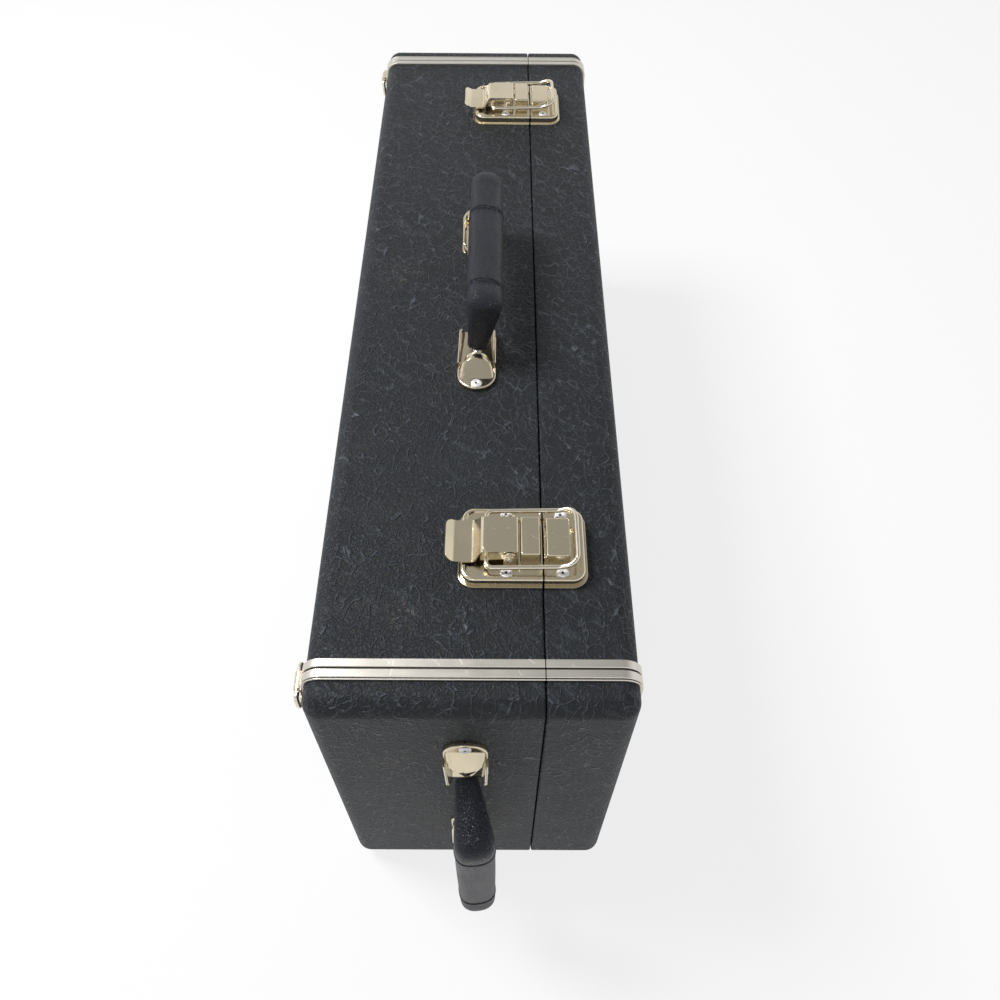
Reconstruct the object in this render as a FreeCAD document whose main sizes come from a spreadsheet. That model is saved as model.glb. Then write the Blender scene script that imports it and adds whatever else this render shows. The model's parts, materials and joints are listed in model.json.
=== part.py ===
import FreeCAD, Part
import Sketcher
import math
import os
import re
from FreeCAD import Placement, Rotation, Vector

# Hard trumpet case, standing on its hinge side with the handle side up.
# X runs through the thickness, with the lid at +X and the base half at -X.
# Y runs along the length and Z up, from the plane that the glides stand on.

doc = FreeCAD.newDocument("trumpet_case")
dims = doc.addObject("Spreadsheet::Sheet", "dims")

SIZES = (
    # shells
    ("case_length", 560), ("case_height", 230), ("case_thickness", 154), ("lid_depth", 43.5),
    ("parting_gap", 1.5), ("shell_round", 9), ("covering", 0.8), ("panel", 5),
    # fits that many pieces share; a cutting tool runs past its piece by the overrun
    ("seat_gap", 0.05), ("pin_clearance", 0.05), ("overrun", 1),
    # glides under the hinge side
    ("foot_height", 7), ("foot_radius", 9), ("foot_round", 3), ("foot_end_inset", 65),
    ("foot_base_inset", 26), ("foot_lid_inset", 21),
    # metal bands round both ends
    ("band_inset", 14.8), ("band_width", 10.8), ("band_base", 0.8), ("band_rib", 1.5),
    ("band_rib_width", 4.2), ("band_groove", 0.9), ("band_lip", 0.8),
    # latch plates: a pressed pan of sheet with a flat flange, a hood in the base half and a keeper in the lid
    ("latch_inset", 85), ("latch_plate", 1.2), ("latch_raise", 4.1), ("latch_half", 22.5),
    ("latch_base_reach", 41.4), ("latch_lid_reach", 21.9), ("latch_corner", 8), ("latch_border", 2),
    ("latch_edge", 0.15), ("block_half", 11), ("block_round", 0.8), ("hood_near", 1.6),
    ("hood_far", 10.6), ("hood_top", 13.4), ("keeper_near", 1.3), ("keeper_far", 13.1),
    ("keeper_top", 12.2), ("latch_rivet_v", 16.8), ("latch_rivet_base", 17.8), ("latch_rivet_lid", 9.2),
    # latch levers, on a pin between two ears
    ("lever_pivot_x", 16.1), ("lever_pivot_z", 10.4), ("lever_pin", 1.2), ("lever_half", 10.2),
    ("lever_top", 14), ("lever_end", 12), ("lever_back", 29.7), ("lever_skirt", 6), ("lever_sheet", 1),
    ("lever_round", 1.2), ("lever_skirt_round", 3.2), ("tab_half", 12), ("tab_level", 8),
    ("tab_near", 34), ("tab_far", 43), ("tab_tip", 47.6), ("tab_rise", 2.8), ("tab_tip_round", 4),
    ("ear_thick", 1.2), ("ear_gap", 0.4), ("ear_half", 3.2), ("ear_round", 3),
    # latch wires
    ("bail_wire", 1.2), ("bail_half", 16.4), ("bail_pivot_x", 27.6), ("bail_pivot_z", 9.6),
    ("bail_level", 10.6), ("bail_knee", 8), ("bail_front", 16.3), ("bail_clear", 0.35),
    ("bail_corner", 6), ("bail_knee_bend", 8), ("bail_hook_half", 8.2),
    # rivets
    ("rivet_head", 3.1), ("rivet_dome", 1.4), ("rivet_shank", 1.5), ("rivet_fit", 0.03),
    # shoes that hold the handles
    ("handle_x", -1), ("handle_y", -8.5), ("end_handle_x", -3.5), ("end_handle_z", -0.5),
    ("shoe_reach", 81), ("shoe_inner", 18), ("shoe_half", 11), ("shoe_plate", 1.4),
    ("shoe_wall", 1.2), ("shoe_wall_top", 7), ("shoe_wall_lap", 2), ("hood_ledge", 2.8),
    ("hood_ledge_end", 7), ("hood_ramp_end", 8.5), ("hood_mouth", 3.2), ("shoe_hood_top", 10),
    ("shoe_corner", 10.5), ("shoe_top_round", 1.2), ("shoe_rivet", 3.2), ("shoe_inner_rivet", 10),
    # handles: a bent steel rod in a moulded grip
    ("core_radius", 2.5), ("core_level", 5.2), ("core_tip", 1), ("core_leg", 28), ("core_bend", 6),
    ("core_end_play", 0.4), ("handle_lean", 7), ("grip_centre", 38.5), ("grip_leg_low", 10.5),
    ("grip_width", 20), ("grip_depth", 17), ("grip_leg_width", 11), ("grip_leg_depth", 9),
    ("grip_corner", 12), ("grip_seam", 36), ("grip_crown", 0.4),
    # rings for a strap
    ("ring_drop", 12.5), ("ring_wire", 1.2), ("ring_half", 9), ("ring_fall", 12), ("ring_stand", 2),
    ("ring_bar_bend", 1.8), ("ring_bow_bend", 5.5), ("clip_half", 5.5), ("clip_plate", 0.6),
    ("clip_fall", 13.5), ("clip_barrel", 1.9), ("clip_barrel_half", 4.5), ("clip_rivet_fall", 7.2),
    ("ring_fit", 0.1), ("bridge_gap", 0.3),
    # hinges
    ("hinge_inset", 130), ("hinge_leaf", 60), ("hinge_reach", 22), ("hinge_plate", 1.2),
    ("hinge_barrel", 2.5), ("hinge_pin", 1.25), ("hinge_drop", 2.7), ("hinge_clear", 2.7),
    ("knuckle_gap", 0.3), ("hinge_corner", 4), ("hinge_rivet_reach", 14), ("hinge_rivet_step", 22),
    # lining and inner fittings
    ("floor_pad", 6), ("wall_pad", 4), ("lid_pad", 6), ("pad_rim", 3), ("pad_gap", 0.3),
    ("bell_axis_z", 83), ("pipe_axis_z", 153), ("tube_x", -3.5), ("bell_tube", 15), ("pipe_tube", 10),
    ("bell_bow", 12), ("rest_top", 6), ("bell_rest_near", 150), ("bell_rest_far", 112),
    ("valve_rest_near", 74), ("valve_rest_far", 108), ("rest_round", 4),
    ("box_near", 132), ("box_wall", 3), ("box_height", 76), ("box_top", -12), ("box_lid", 4),
    ("box_lid_gap", 0.4), ("box_pin", 1), ("box_pin_seat", 1), ("box_gap", 3),
    ("mouth_near", 166), ("mouth_height", 44), ("mouth_top", -20), ("mouth_bore", 6.5),
    ("mouth_depth", 38), ("mouth_step", 44), ("mouth_first", 28), ("mouth_level", 22),
)

for row, (alias, value) in enumerate(SIZES, 1):
    dims.set("A%d" % row, alias)
    dims.set("B%d" % row, str(value))
    dims.setAlias("B%d" % row, alias)
doc.recompute()

NAMES = {alias for alias, value in SIZES}

# planes that many pieces share, as expressions in the sheet's words
BASE_FACE = "(-case_thickness / 2)"
LID_FACE = "(case_thickness / 2)"
PARTING = "(case_thickness / 2 - lid_depth)"
BASE_RIM = "(case_thickness / 2 - lid_depth - parting_gap / 2)"
LID_RIM = "(case_thickness / 2 - lid_depth + parting_gap / 2)"
NEAR = "(-case_length / 2)"
FAR = "(case_length / 2)"
LOW = "foot_height"
TOP = "(foot_height + case_height)"
WALL = "(covering + panel)"
LINED = "(covering + panel + wall_pad)"
AXES = {"x": Vector(1, 0, 0), "y": Vector(0, 1, 0), "z": Vector(0, 0, 1)}


def size(alias):
    return float(dims.get(alias))


def words(text):
    return re.sub(r"[a-z_]+", lambda m: "dims." + m.group(0) if m.group(0) in NAMES else m.group(0), text)


def bind(obj, **expressions):
    for prop, text in expressions.items():
        obj.setExpression(prop, words(text))
    return obj


def place(obj, x="0", y="0", z="0", rotation=None):
    if rotation is not None:
        obj.Placement = Placement(Vector(0, 0, 0), rotation)
    for axis, text in (("x", x), ("y", y), ("z", z)):
        if text != "0":
            obj.setExpression("Placement.Base." + axis, words(text))
    return obj


def box(name, x, y, z):
    solid = doc.addObject("Part::Box", name)
    bind(solid, Length="%s - (%s)" % (x[1], x[0]), Width="%s - (%s)" % (y[1], y[0]),
         Height="%s - (%s)" % (z[1], z[0]))
    return place(solid, x[0], y[0], z[0])


def rod(name, radius, length, x="0", y="0", z="0", along="z"):
    solid = doc.addObject("Part::Cylinder", name)
    bind(solid, Radius=radius, Height=length)
    return place(solid, x, y, z, Rotation(AXES["z"], AXES[along]))


def cut(name, base, tool):
    result = doc.addObject("Part::Cut", name)
    result.Base = base
    result.Tool = tool
    return result


def common(name, base, tool):
    result = doc.addObject("Part::Common", name)
    result.Base = base
    result.Tool = tool
    return result


def fuse(name, pieces):
    result = doc.addObject("Part::MultiFuse", name)
    result.Shapes = list(pieces)
    return result


def group(name, pieces):
    result = doc.addObject("Part::Compound", name)
    result.Links = list(pieces)
    return result


def shaped(name, shape):
    result = doc.addObject("Part::Feature", name)
    result.Shape = shape
    return result


def origin_plane(body, role):
    return next(item for item in body.Origin.OriginFeatures if item.Role == role)


START_RADIUS = 40


def outline(body, name, corners, plane="XY_Plane", level="0"):
    # A closed straight-sided sketch: each corner is a pair of expressions, measured from the origin.
    # Its sides start as a regular polygon, and the constraints then draw each corner to its place.
    sketch = body.newObject("Sketcher::SketchObject", name)
    sketch.AttachmentSupport = [(origin_plane(body, plane), "")]
    sketch.MapMode = "FlatFace"
    if level != "0":
        sketch.setExpression("AttachmentOffset.Base.z", words(level))
    count = len(corners)
    for i in range(count):
        turns = [2 * math.pi * k / count for k in (i, i + 1)]
        start, stop = [Vector(math.cos(turn), math.sin(turn), 0) * START_RADIUS for turn in turns]
        sketch.addGeometry(Part.LineSegment(start, stop), False)
    for i in range(count):
        sketch.addConstraint(Sketcher.Constraint("Coincident", i, 2, (i + 1) % count, 1))
    for i, (across, up) in enumerate(corners):
        for kind, text in (("DistanceX", across), ("DistanceY", up)):
            at = sketch.addConstraint(Sketcher.Constraint(kind, -1, 1, i, 1, 1.0))
            label = "p%d%s" % (i, kind[-1].lower())
            sketch.renameConstraint(at, label)
            sketch.setExpression("Constraints." + label, words(text))
    return sketch


def pad(body, sketch, length, midplane=False):
    feature = body.newObject("PartDesign::Pad", sketch.Name + "_pad")
    feature.Profile = sketch
    if midplane:
        feature.SideType = "Symmetric"
    bind(feature, Length=length)
    doc.recompute()
    return feature


def sides_of(point, bounds):
    near = 1e-3
    found = set()
    for axis, low, high in (("x", bounds.XMin, bounds.XMax), ("y", bounds.YMin, bounds.YMax),
                            ("z", bounds.ZMin, bounds.ZMax)):
        value = getattr(point, axis)
        if abs(value - low) < near:
            found.add(axis + "-")
        if abs(value - high) < near:
            found.add(axis + "+")
    return found


def edges_of(shape, along, sides):
    names = []
    for number, edge in enumerate(shape.Edges, 1):
        if edge.Curve.TypeId != "Part::GeomLine":
            continue
        if abs(abs(edge.Curve.Direction.dot(AXES[along])) - 1) > 1e-6:
            continue
        if set(sides) <= sides_of(edge.CenterOfMass, shape.BoundBox):
            names.append("Edge%d" % number)
    return names


def rounded(body, base, radius, picks):
    names = []
    for along, sides in picks:
        names += edges_of(base.Shape, along, sides)
    feature = body.newObject("PartDesign::Fillet", base.Name + "_round")
    feature.Base = (base, sorted(set(names)))
    bind(feature, Radius=radius)
    doc.recompute()
    return feature


def block(name, x, y, z, rounds=()):
    # A body padded from a rectangle, then rounded: rounds holds pairs of a radius and the edges it takes.
    body = doc.addObject("PartDesign::Body", name)
    sketch = outline(body, name + "_plan", ((x[0], y[0]), (x[1], y[0]), (x[1], y[1]), (x[0], y[1])),
                     "XY_Plane", z[0])
    feature = pad(body, sketch, "%s - (%s)" % (z[1], z[0]))
    for radius, picks in rounds:
        feature = rounded(body, feature, radius, picks)
    return body


def less(text, amount):
    return "(%s - (%s))" % (text, amount)


def more(text, amount):
    return "(%s + (%s))" % (text, amount)


def margins(low, high, amount):
    return more(low, amount), less(high, amount)


pieces = {}


def piece(node, solid):
    solid.Label = node
    pieces[node] = solid
    return solid


# Rivets. Each rivet site gives a headed pin and the hole that it passes through.
rivet_count = 0
OUTWARD = {"z+": Rotation(), "z-": Rotation(Vector(1, 0, 0), 180), "y-": Rotation(Vector(1, 0, 0), 90),
           "y+": Rotation(Vector(1, 0, 0), -90), "x-": Rotation(Vector(0, 1, 0), -90)}


def rivet(x, y, z, outward, stack):
    # The head sits at x, y, z on top of the stack of plates that the shank clamps to the wall.
    global rivet_count
    rivet_count += 1
    name = "rivet_%02d" % rivet_count
    head = doc.addObject("Part::Ellipsoid", name + "_head")
    bind(head, Radius1="rivet_dome", Radius2="rivet_head", Radius3="rivet_head")
    head.Angle1 = 0
    grip = "(%s + %s)" % (stack, WALL)
    shank = rod(name + "_shank", "rivet_shank", more(grip, "rivet_dome / 2"), z="-" + grip)
    pin = place(fuse(name, (head, shank)), x, y, z, OUTWARD[outward])
    hole = rod(name + "_bore", "(rivet_shank + rivet_fit)", more(grip, "2 * rivet_dome"),
               z="-" + more(grip, "rivet_dome"))
    return pin, place(group(name + "_hole", (hole,)), x, y, z, OUTWARD[outward])


def seat_list(sites):
    pins, holes = [], []
    for site in sites:
        pin, hole = rivet(*site)
        pins.append(pin)
        holes.append(hole)
    return pins, holes


LATCHES = (("near", "(latch_inset - case_length / 2)"), ("far", "(case_length / 2 - latch_inset)"))
LATCH_SEAT = "(latch_plate + latch_raise)"
# A shoe along its handle, from the handle's middle. Its end is at shoe_reach, and the ledge, the ramp and
# the leg are each measured in from there, so that all of them follow it.
LEG = less("shoe_reach", "core_leg")
HOOD_MOUTH = more(LEG, "grip_leg_depth / 2 + hood_mouth")
LEDGE_END = less("shoe_reach", "hood_ledge_end")
RAMP_END = less(LEDGE_END, "hood_ramp_end")
CORE_TIP = more(RAMP_END, "core_tip")
SHOE_INNER = less(LEG, "shoe_inner")
END_HANDLE_Z = "(foot_height + case_height / 2 + end_handle_z)"
BAND_MIDS = (("near", "(band_inset + band_width / 2 - case_length / 2)"),
             ("far", "(case_length / 2 - band_inset - band_width / 2)"))
HINGES = (("near", "(hinge_inset - case_length / 2)"), ("far", "(case_length / 2 - hinge_inset)"))

base_latch_sites, lid_latch_sites = [], []
for end, middle in LATCHES:
    for side in ("-", "+"):
        across = "(%s %s latch_rivet_v)" % (middle, side)
        base_latch_sites.append((less(PARTING, "latch_rivet_base"), across, more(TOP, LATCH_SEAT), "z+",
                                 LATCH_SEAT))
        lid_latch_sites.append((more(PARTING, "latch_rivet_lid"), across, more(TOP, LATCH_SEAT), "z+",
                                LATCH_SEAT))

top_shoe_sites, end_shoe_sites = [], []
for sign in ("-", "+"):
    for reach, seat in ((less("shoe_reach", "shoe_rivet"), "hood_ledge"),
                        (less(LEG, "shoe_inner_rivet"), "shoe_plate")):
        top_shoe_sites.append(("handle_x", "(handle_y %s %s)" % (sign, reach), more(TOP, seat), "z+",
                               seat))
        end_shoe_sites.append(("end_handle_x", less(NEAR, seat),
                               "(%s %s %s)" % (END_HANDLE_Z, sign, reach), "y-", seat))

CLIP_SEAT = "(band_rib + seat_gap + clip_plate)"
clip_sites = [(less(BASE_FACE, CLIP_SEAT), middle, less(TOP, "(ring_drop + clip_rivet_fall)"), "x-",
               CLIP_SEAT) for end, middle in BAND_MIDS]

base_hinge_sites, lid_hinge_sites = [], []
for end, middle in HINGES:
    for step in ("-", "+"):
        along = "(%s %s hinge_rivet_step)" % (middle, step)
        base_hinge_sites.append((less(PARTING, "hinge_rivet_reach"), along, less(LOW, "hinge_plate"), "z-",
                                 "hinge_plate"))
        lid_hinge_sites.append((more(PARTING, "hinge_rivet_reach"), along, less(LOW, "hinge_plate"), "z-",
                                "hinge_plate"))

base_latch_pins, base_latch_holes = seat_list(base_latch_sites)
lid_latch_pins, lid_latch_holes = seat_list(lid_latch_sites)
top_shoe_pins, top_shoe_holes = seat_list(top_shoe_sites)
end_shoe_pins, end_shoe_holes = seat_list(end_shoe_sites)
clip_pins, clip_holes = seat_list(clip_sites)
base_hinge_pins, base_hinge_holes = seat_list(base_hinge_sites)
lid_hinge_pins, lid_hinge_holes = seat_list(lid_hinge_sites)

piece("base_rivets", group("base_rivets", base_latch_pins + clip_pins + base_hinge_pins))
piece("lid_rivets", group("lid_rivets", lid_latch_pins + lid_hinge_pins))
piece("handle_rivets", group("handle_rivets", top_shoe_pins + end_shoe_pins))

top_holes = group("top_holes", base_latch_holes + top_shoe_holes)
end_holes = group("end_holes", end_shoe_holes)
back_holes = group("back_holes", clip_holes)
under_holes = group("under_holes", base_hinge_holes)
base_holes = group("base_holes", base_latch_holes + top_shoe_holes + end_shoe_holes + clip_holes
                   + base_hinge_holes)
lid_top_holes = group("lid_top_holes", lid_latch_holes)
lid_under_holes = group("lid_under_holes", lid_hinge_holes)
lid_holes = group("lid_holes", lid_latch_holes + lid_hinge_holes)


# Half shells: five plywood panels each, and a vinyl covering that turns over the rim.
def half_form(name, outer, margin, rim_margin, radius):
    # outer is the sign of the half's big face on X
    if outer == "-":
        x = (more(BASE_FACE, margin), less(BASE_RIM, rim_margin))
    else:
        x = (more(LID_RIM, rim_margin), less(LID_FACE, margin))
    face = "x" + outer
    picks = (("y", (face,)), ("z", (face,)), ("x", ()))
    return block(name, x, margins(NEAR, FAR, margin), margins(LOW, TOP, margin), ((radius, picks),))


def hollow(name, outer, inset, face_inset):
    # the open space inside a half, running out past the rim
    if outer == "-":
        x = (more(BASE_FACE, face_inset), more(BASE_RIM, "parting_gap"))
    else:
        x = (less(LID_RIM, "parting_gap"), less(LID_FACE, face_inset))
    return box(name, x, margins(NEAR, FAR, inset), margins(LOW, TOP, inset))


def build_half(half, outer, holes, wall_holes):
    skin = half_form(half + "_skin_form", outer, "0", "0", "shell_round")
    core = half_form(half + "_core_form", outer, "covering", "covering", "(shell_round - covering)")
    inside = hollow(half + "_hollow", outer, WALL, WALL)
    shell = cut(half + "_skin_open", cut(half + "_skin_less_core", skin, core), inside)
    piece(half + "_covering", cut(half + "_covering", shell, holes))
    big = (BASE_FACE, more(BASE_FACE, WALL)) if outer == "-" else (less(LID_FACE, WALL), LID_FACE)
    rest = (more(BASE_FACE, WALL), BASE_RIM) if outer == "-" else (LID_RIM, less(LID_FACE, WALL))
    face_name = "back_panel" if outer == "-" else "face_panel"
    regions = (
        (face_name, big, (NEAR, FAR), (LOW, TOP)),
        ("handle_wall", rest, (NEAR, FAR), (less(TOP, WALL), TOP)),
        ("hinge_wall", rest, (NEAR, FAR), (LOW, more(LOW, WALL))),
        ("near_end_wall", rest, (NEAR, more(NEAR, WALL)), (more(LOW, WALL), less(TOP, WALL))),
        ("far_end_wall", rest, (less(FAR, WALL), FAR), (more(LOW, WALL), less(TOP, WALL))),
    )
    for word, x, y, z in regions:
        node = half + "_" + word
        board = common(node + "_board", core, box(node + "_region", x, y, z))
        if word in wall_holes:
            board = cut(node, board, wall_holes[word])
        piece(node, board)


build_half("base", "-", base_holes,
           {"back_panel": back_holes, "handle_wall": top_holes, "hinge_wall": under_holes,
            "near_end_wall": end_holes})
build_half("lid", "+", lid_holes, {"handle_wall": lid_top_holes, "hinge_wall": lid_under_holes})


# Metal bands: a flat strip with two ribs and an outer lip, bent round each half.
def strip(name, outer, y, proud):
    skin = "(-(%s))" % proud
    form = half_form(name + "_out", outer, skin, "0", more("shell_round", proud))
    seat = half_form(name + "_in", outer, "(-seat_gap)", "(-parting_gap)", more("shell_round", "seat_gap"))
    rim = (more(BASE_FACE, "-case_thickness"), more(LID_FACE, "case_thickness"))
    slab = box(name + "_slab", rim, y, ("(-case_height)", "(2 * case_height + foot_height)"))
    return common(name, cut(name + "_ring", form, seat), slab)


def band_pieces(half, end, outer):
    # distances run inwards from the band's outer edge; the lip and the ribs stand proud of the strip
    second = "(band_lip + band_groove / 2 + band_rib_width + band_groove)"
    first = "(band_lip + band_groove / 2)"
    spans = (("flat", "0", "band_width", "band_base"), ("lip", "0", "band_lip", "band_rib"),
             ("rib_a", first, more(first, "band_rib_width"), "band_rib"),
             ("rib_b", second, more(second, "band_rib_width"), "band_rib"))
    strips = []
    for word, start, stop, proud in spans:
        if end == "near":
            y = (more(NEAR, "band_inset + " + start), more(NEAR, "band_inset + " + stop))
        else:
            y = (less(FAR, "band_inset + " + stop), less(FAR, "band_inset + " + start))
        strips.append(strip("%s_%s_%s" % (half, end, word), outer, y, proud))
    band = fuse("%s_%s_strips" % (half, end), strips)
    node = "%s_band_%s" % (half, end)
    piece(node, cut(node, band, clip_hole_group[half]))


clip_hole_group = {"base": back_holes, "lid": lid_top_holes}
for end in ("near", "far"):
    band_pieces("base", end, "-")
    band_pieces("lid", end, "+")


# Glides: two under each half, as domed studs with a small flat.
def glides(node, x):
    studs = []
    for word, sign in (("near", "-"), ("far", "")):
        name = "%s_%s" % (node, word)
        stud = doc.addObject("PartDesign::Body", name)
        sketch = outline(stud, name + "_profile",
                         (("0", "0"), ("(foot_radius - foot_round)", "0"), ("foot_radius", "foot_round"),
                          ("foot_radius", "(foot_height - seat_gap)"), ("0", "(foot_height - seat_gap)")),
                         "XZ_Plane")
        turn = stud.newObject("PartDesign::Revolution", name + "_turn")
        turn.Profile = sketch
        turn.ReferenceAxis = (sketch, ["V_Axis"])
        turn.Angle = 360
        studs.append(place(stud, x, "%s(case_length / 2 - foot_end_inset)" % sign, "0"))
    piece(node, group(node, studs))


glides("base_feet", more(BASE_FACE, "foot_base_inset"))
glides("lid_feet", less(LID_FACE, "foot_lid_inset"))


# Latches, in their own frame: x from the parting line, y from the latch's middle, z from the covering.
PAN_TOP = (less(LATCH_SEAT, "latch_plate"), LATCH_SEAT)


def pan(name, x, open_side):
    # a flat flange and a raised pan of the same sheet, closed all round; open_side lies on the parting
    if open_side == "x-":
        low, high, closed = x[0], less(x[1], "latch_border"), "x+"
    else:
        low, high, closed = more(x[0], "latch_border"), x[1], "x-"
    picks = (("z", (closed,)),)
    flange = block(name + "_flange", x, ("-latch_half", "latch_half"), ("seat_gap", "latch_plate"),
                   (("latch_corner", picks),))
    half = "(latch_half - latch_border)"
    raised = block(name + "_raised", (low, high), ("-" + half, half), ("seat_gap", LATCH_SEAT),
                   (("(latch_corner - latch_border)", picks),))
    inner = "(latch_half - latch_border - latch_plate)"
    inside = block(name + "_inside", margins(low, high, "latch_plate"), ("-" + inner, inner),
                   ("-overrun", PAN_TOP[0]), (("(latch_corner - latch_border - latch_plate)", picks),))
    return cut(name + "_pan", fuse(name + "_sheet", (flange, raised)), inside)


def latch_base(name):
    tray = pan(name, ("-latch_base_reach", "-(parting_gap / 2 + latch_edge)"), "x+")
    hood = block(name + "_hood", ("-hood_far", "-hood_near"), ("-block_half", "block_half"),
                 (PAN_TOP[0], "hood_top"), (("block_round", (("x", ("z+",)), ("y", ("z+",)))),))
    ears = []
    inner, outer = "(lever_half + ear_gap)", "(lever_half + ear_gap + ear_thick)"
    ear_x = ("-(lever_pivot_x + ear_half)", "-(lever_pivot_x - ear_half)")
    ear_z = (PAN_TOP[0], "(lever_pivot_z + ear_half)")
    for word, y in (("a", ("-" + outer, "-" + inner)), ("b", (inner, outer))):
        ears.append(block(name + "_ear_" + word, ear_x, y, ear_z, (("ear_round", (("y", ("z+",)),)),)))
    whole = fuse(name + "_blank", (tray, hood, *ears))
    bore = rod(name + "_bore", "(lever_pin + pin_clearance / 2)", "latch_half * 2", "-lever_pivot_x",
               "-latch_half", "lever_pivot_z", "y")
    return cut(name + "_bored", whole, bore)


def latch_keeper(name):
    tray = pan(name, ("(parting_gap / 2 + latch_edge)", "latch_lid_reach"), "x-")
    catch = block(name + "_catch", ("keeper_near", "keeper_far"), ("-block_half", "block_half"),
                  (PAN_TOP[0], "keeper_top"), (("block_round", (("x", ("z+",)), ("y", ("z+",)))),))
    return fuse(name + "_blank", (tray, catch))


# the slopes of the lever's strip, where it steps down to the tab and where the tab's tip turns up
STEP_SLOPE = "atan2(lever_top - tab_level; tab_near - lever_back)"
TIP_SLOPE = "atan2(tab_rise; tab_tip - tab_far)"


def latch_lever(name):
    # a pressed cover with side flanges, and a strip of even thickness that steps down to the finger tab
    shell = block(name + "_cover", ("-lever_back", "-lever_end"), ("-lever_half", "lever_half"),
                  ("lever_skirt", "lever_top"),
                  (("lever_skirt_round", (("y", ("x+", "z-")),)), ("lever_round", (("y", ("x+", "z+")),)),
                   ("block_round", (("x", ("z+",)),))))
    inside = box(name + "_inside", ("-(lever_back + overrun)", "-(lever_end + lever_sheet)"),
                 ("-(lever_half - lever_sheet)", "(lever_half - lever_sheet)"),
                 ("(lever_skirt - overrun)", "(lever_top - lever_sheet)"))
    body = doc.addObject("PartDesign::Body", name + "_strip")
    step_mitre = "lever_sheet * tan(%s / 2)" % STEP_SLOPE
    tip_mitre = "lever_sheet * tan(%s / 2)" % TIP_SLOPE
    above = (("-tab_tip", "(tab_level + tab_rise)"), ("-tab_far", "tab_level"), ("-tab_near", "tab_level"),
             ("-lever_back", "lever_top"), ("-(lever_back - lever_sheet)", "lever_top"))
    below = (("-(lever_back - lever_sheet)", "(lever_top - lever_sheet)"),
             ("-(lever_back - %s)" % step_mitre, "(lever_top - lever_sheet)"),
             ("-(tab_near - %s)" % step_mitre, "(tab_level - lever_sheet)"),
             ("-(tab_far + %s)" % tip_mitre, "(tab_level - lever_sheet)"),
             ("-(tab_tip + lever_sheet * sin(%s))" % TIP_SLOPE,
              "(tab_level + tab_rise - lever_sheet * cos(%s))" % TIP_SLOPE))
    profile = outline(body, name + "_run", above + below, "XZ_Plane")
    strip_pad = pad(body, profile, "2 * tab_half", True)
    tips = ["Edge%d" % number for number, edge in enumerate(strip_pad.Shape.Edges, 1)
            if abs(edge.Length - size("lever_sheet")) < 1e-6 and edge.CenterOfMass.x < -size("tab_far")]
    tip_round = body.newObject("PartDesign::Fillet", name + "_tips")
    tip_round.Base = (strip_pad, tips)
    bind(tip_round, Radius="tab_tip_round")
    blank = fuse(name + "_blank", (cut(name + "_shell", shell, inside), body))
    bores = fuse(name + "_bores", (
        rod(name + "_pivot", "(lever_pin + pin_clearance)", "latch_half * 2", "-lever_pivot_x",
            "-latch_half", "lever_pivot_z", "y"),
        rod(name + "_bail_hole", "(bail_wire + pin_clearance)", "latch_half * 2", "-bail_pivot_x",
            "-latch_half", "bail_pivot_z", "y")))
    return cut(name + "_bored", blank, bores)


def round_wire(points, radii, closed=False):
    # straight runs joined by tangent arcs, one radius for each inner corner
    count = len(points)
    edges, ends = [], []
    for i in range(count):
        if not closed and i in (0, count - 1):
            ends.append((points[i], points[i]))
            continue
        before, here, after = points[i - 1], points[i], points[(i + 1) % count]
        back = (before - here).normalize()
        ahead = (after - here).normalize()
        half = back.getAngle(ahead) / 2
        reach = radii[i] / math.tan(half)
        start, stop = here + back * reach, here + ahead * reach
        centre = here + (back + ahead).normalize() * (radii[i] / math.sin(half))
        middle = centre + (here - centre).normalize() * radii[i]
        ends.append((start, stop, middle))
    for i in range(count):
        if len(ends[i]) == 3:
            edges.append(Part.Arc(ends[i][0], ends[i][2], ends[i][1]).toShape())
        if i + 1 < count or closed:
            edges.append(Part.LineSegment(ends[i][1], ends[(i + 1) % count][0]).toShape())
    return Part.Wire(edges)


def tube(wire, radius):
    start = wire.Edges[0]
    at = start.valueAt(start.FirstParameter)
    heading = start.tangentAt(start.FirstParameter)
    ring = Part.Wire(Part.Circle(at, heading, radius).toShape())
    sweep = Part.BRepOffsetAPI.MakePipeShell(wire)
    sweep.setFrenetMode(False)
    sweep.add(ring)
    sweep.build()
    sweep.makeSolid()
    return sweep.shape()


def latch_bail():
    # hooked into the lever at the back, level along both sides, then up and over the keeper's far edge
    back, lift = -size("bail_pivot_x"), size("bail_pivot_z")
    half, front = size("bail_half"), size("bail_front")
    crest = size("keeper_top") + size("bail_clear") + size("bail_wire")
    side = [Vector(back, size("bail_hook_half"), lift), Vector(back, half, lift),
            Vector(size("bail_knee"), half, size("bail_level")), Vector(front, half, crest)]
    bend, knee_bend = size("bail_corner"), size("bail_knee_bend")
    radii = [0, bend / 2, knee_bend, bend]
    path = side + [Vector(point.x, -point.y, point.z) for point in reversed(side)]
    return tube(round_wire(path, radii + radii[::-1]), size("bail_wire"))


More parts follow.
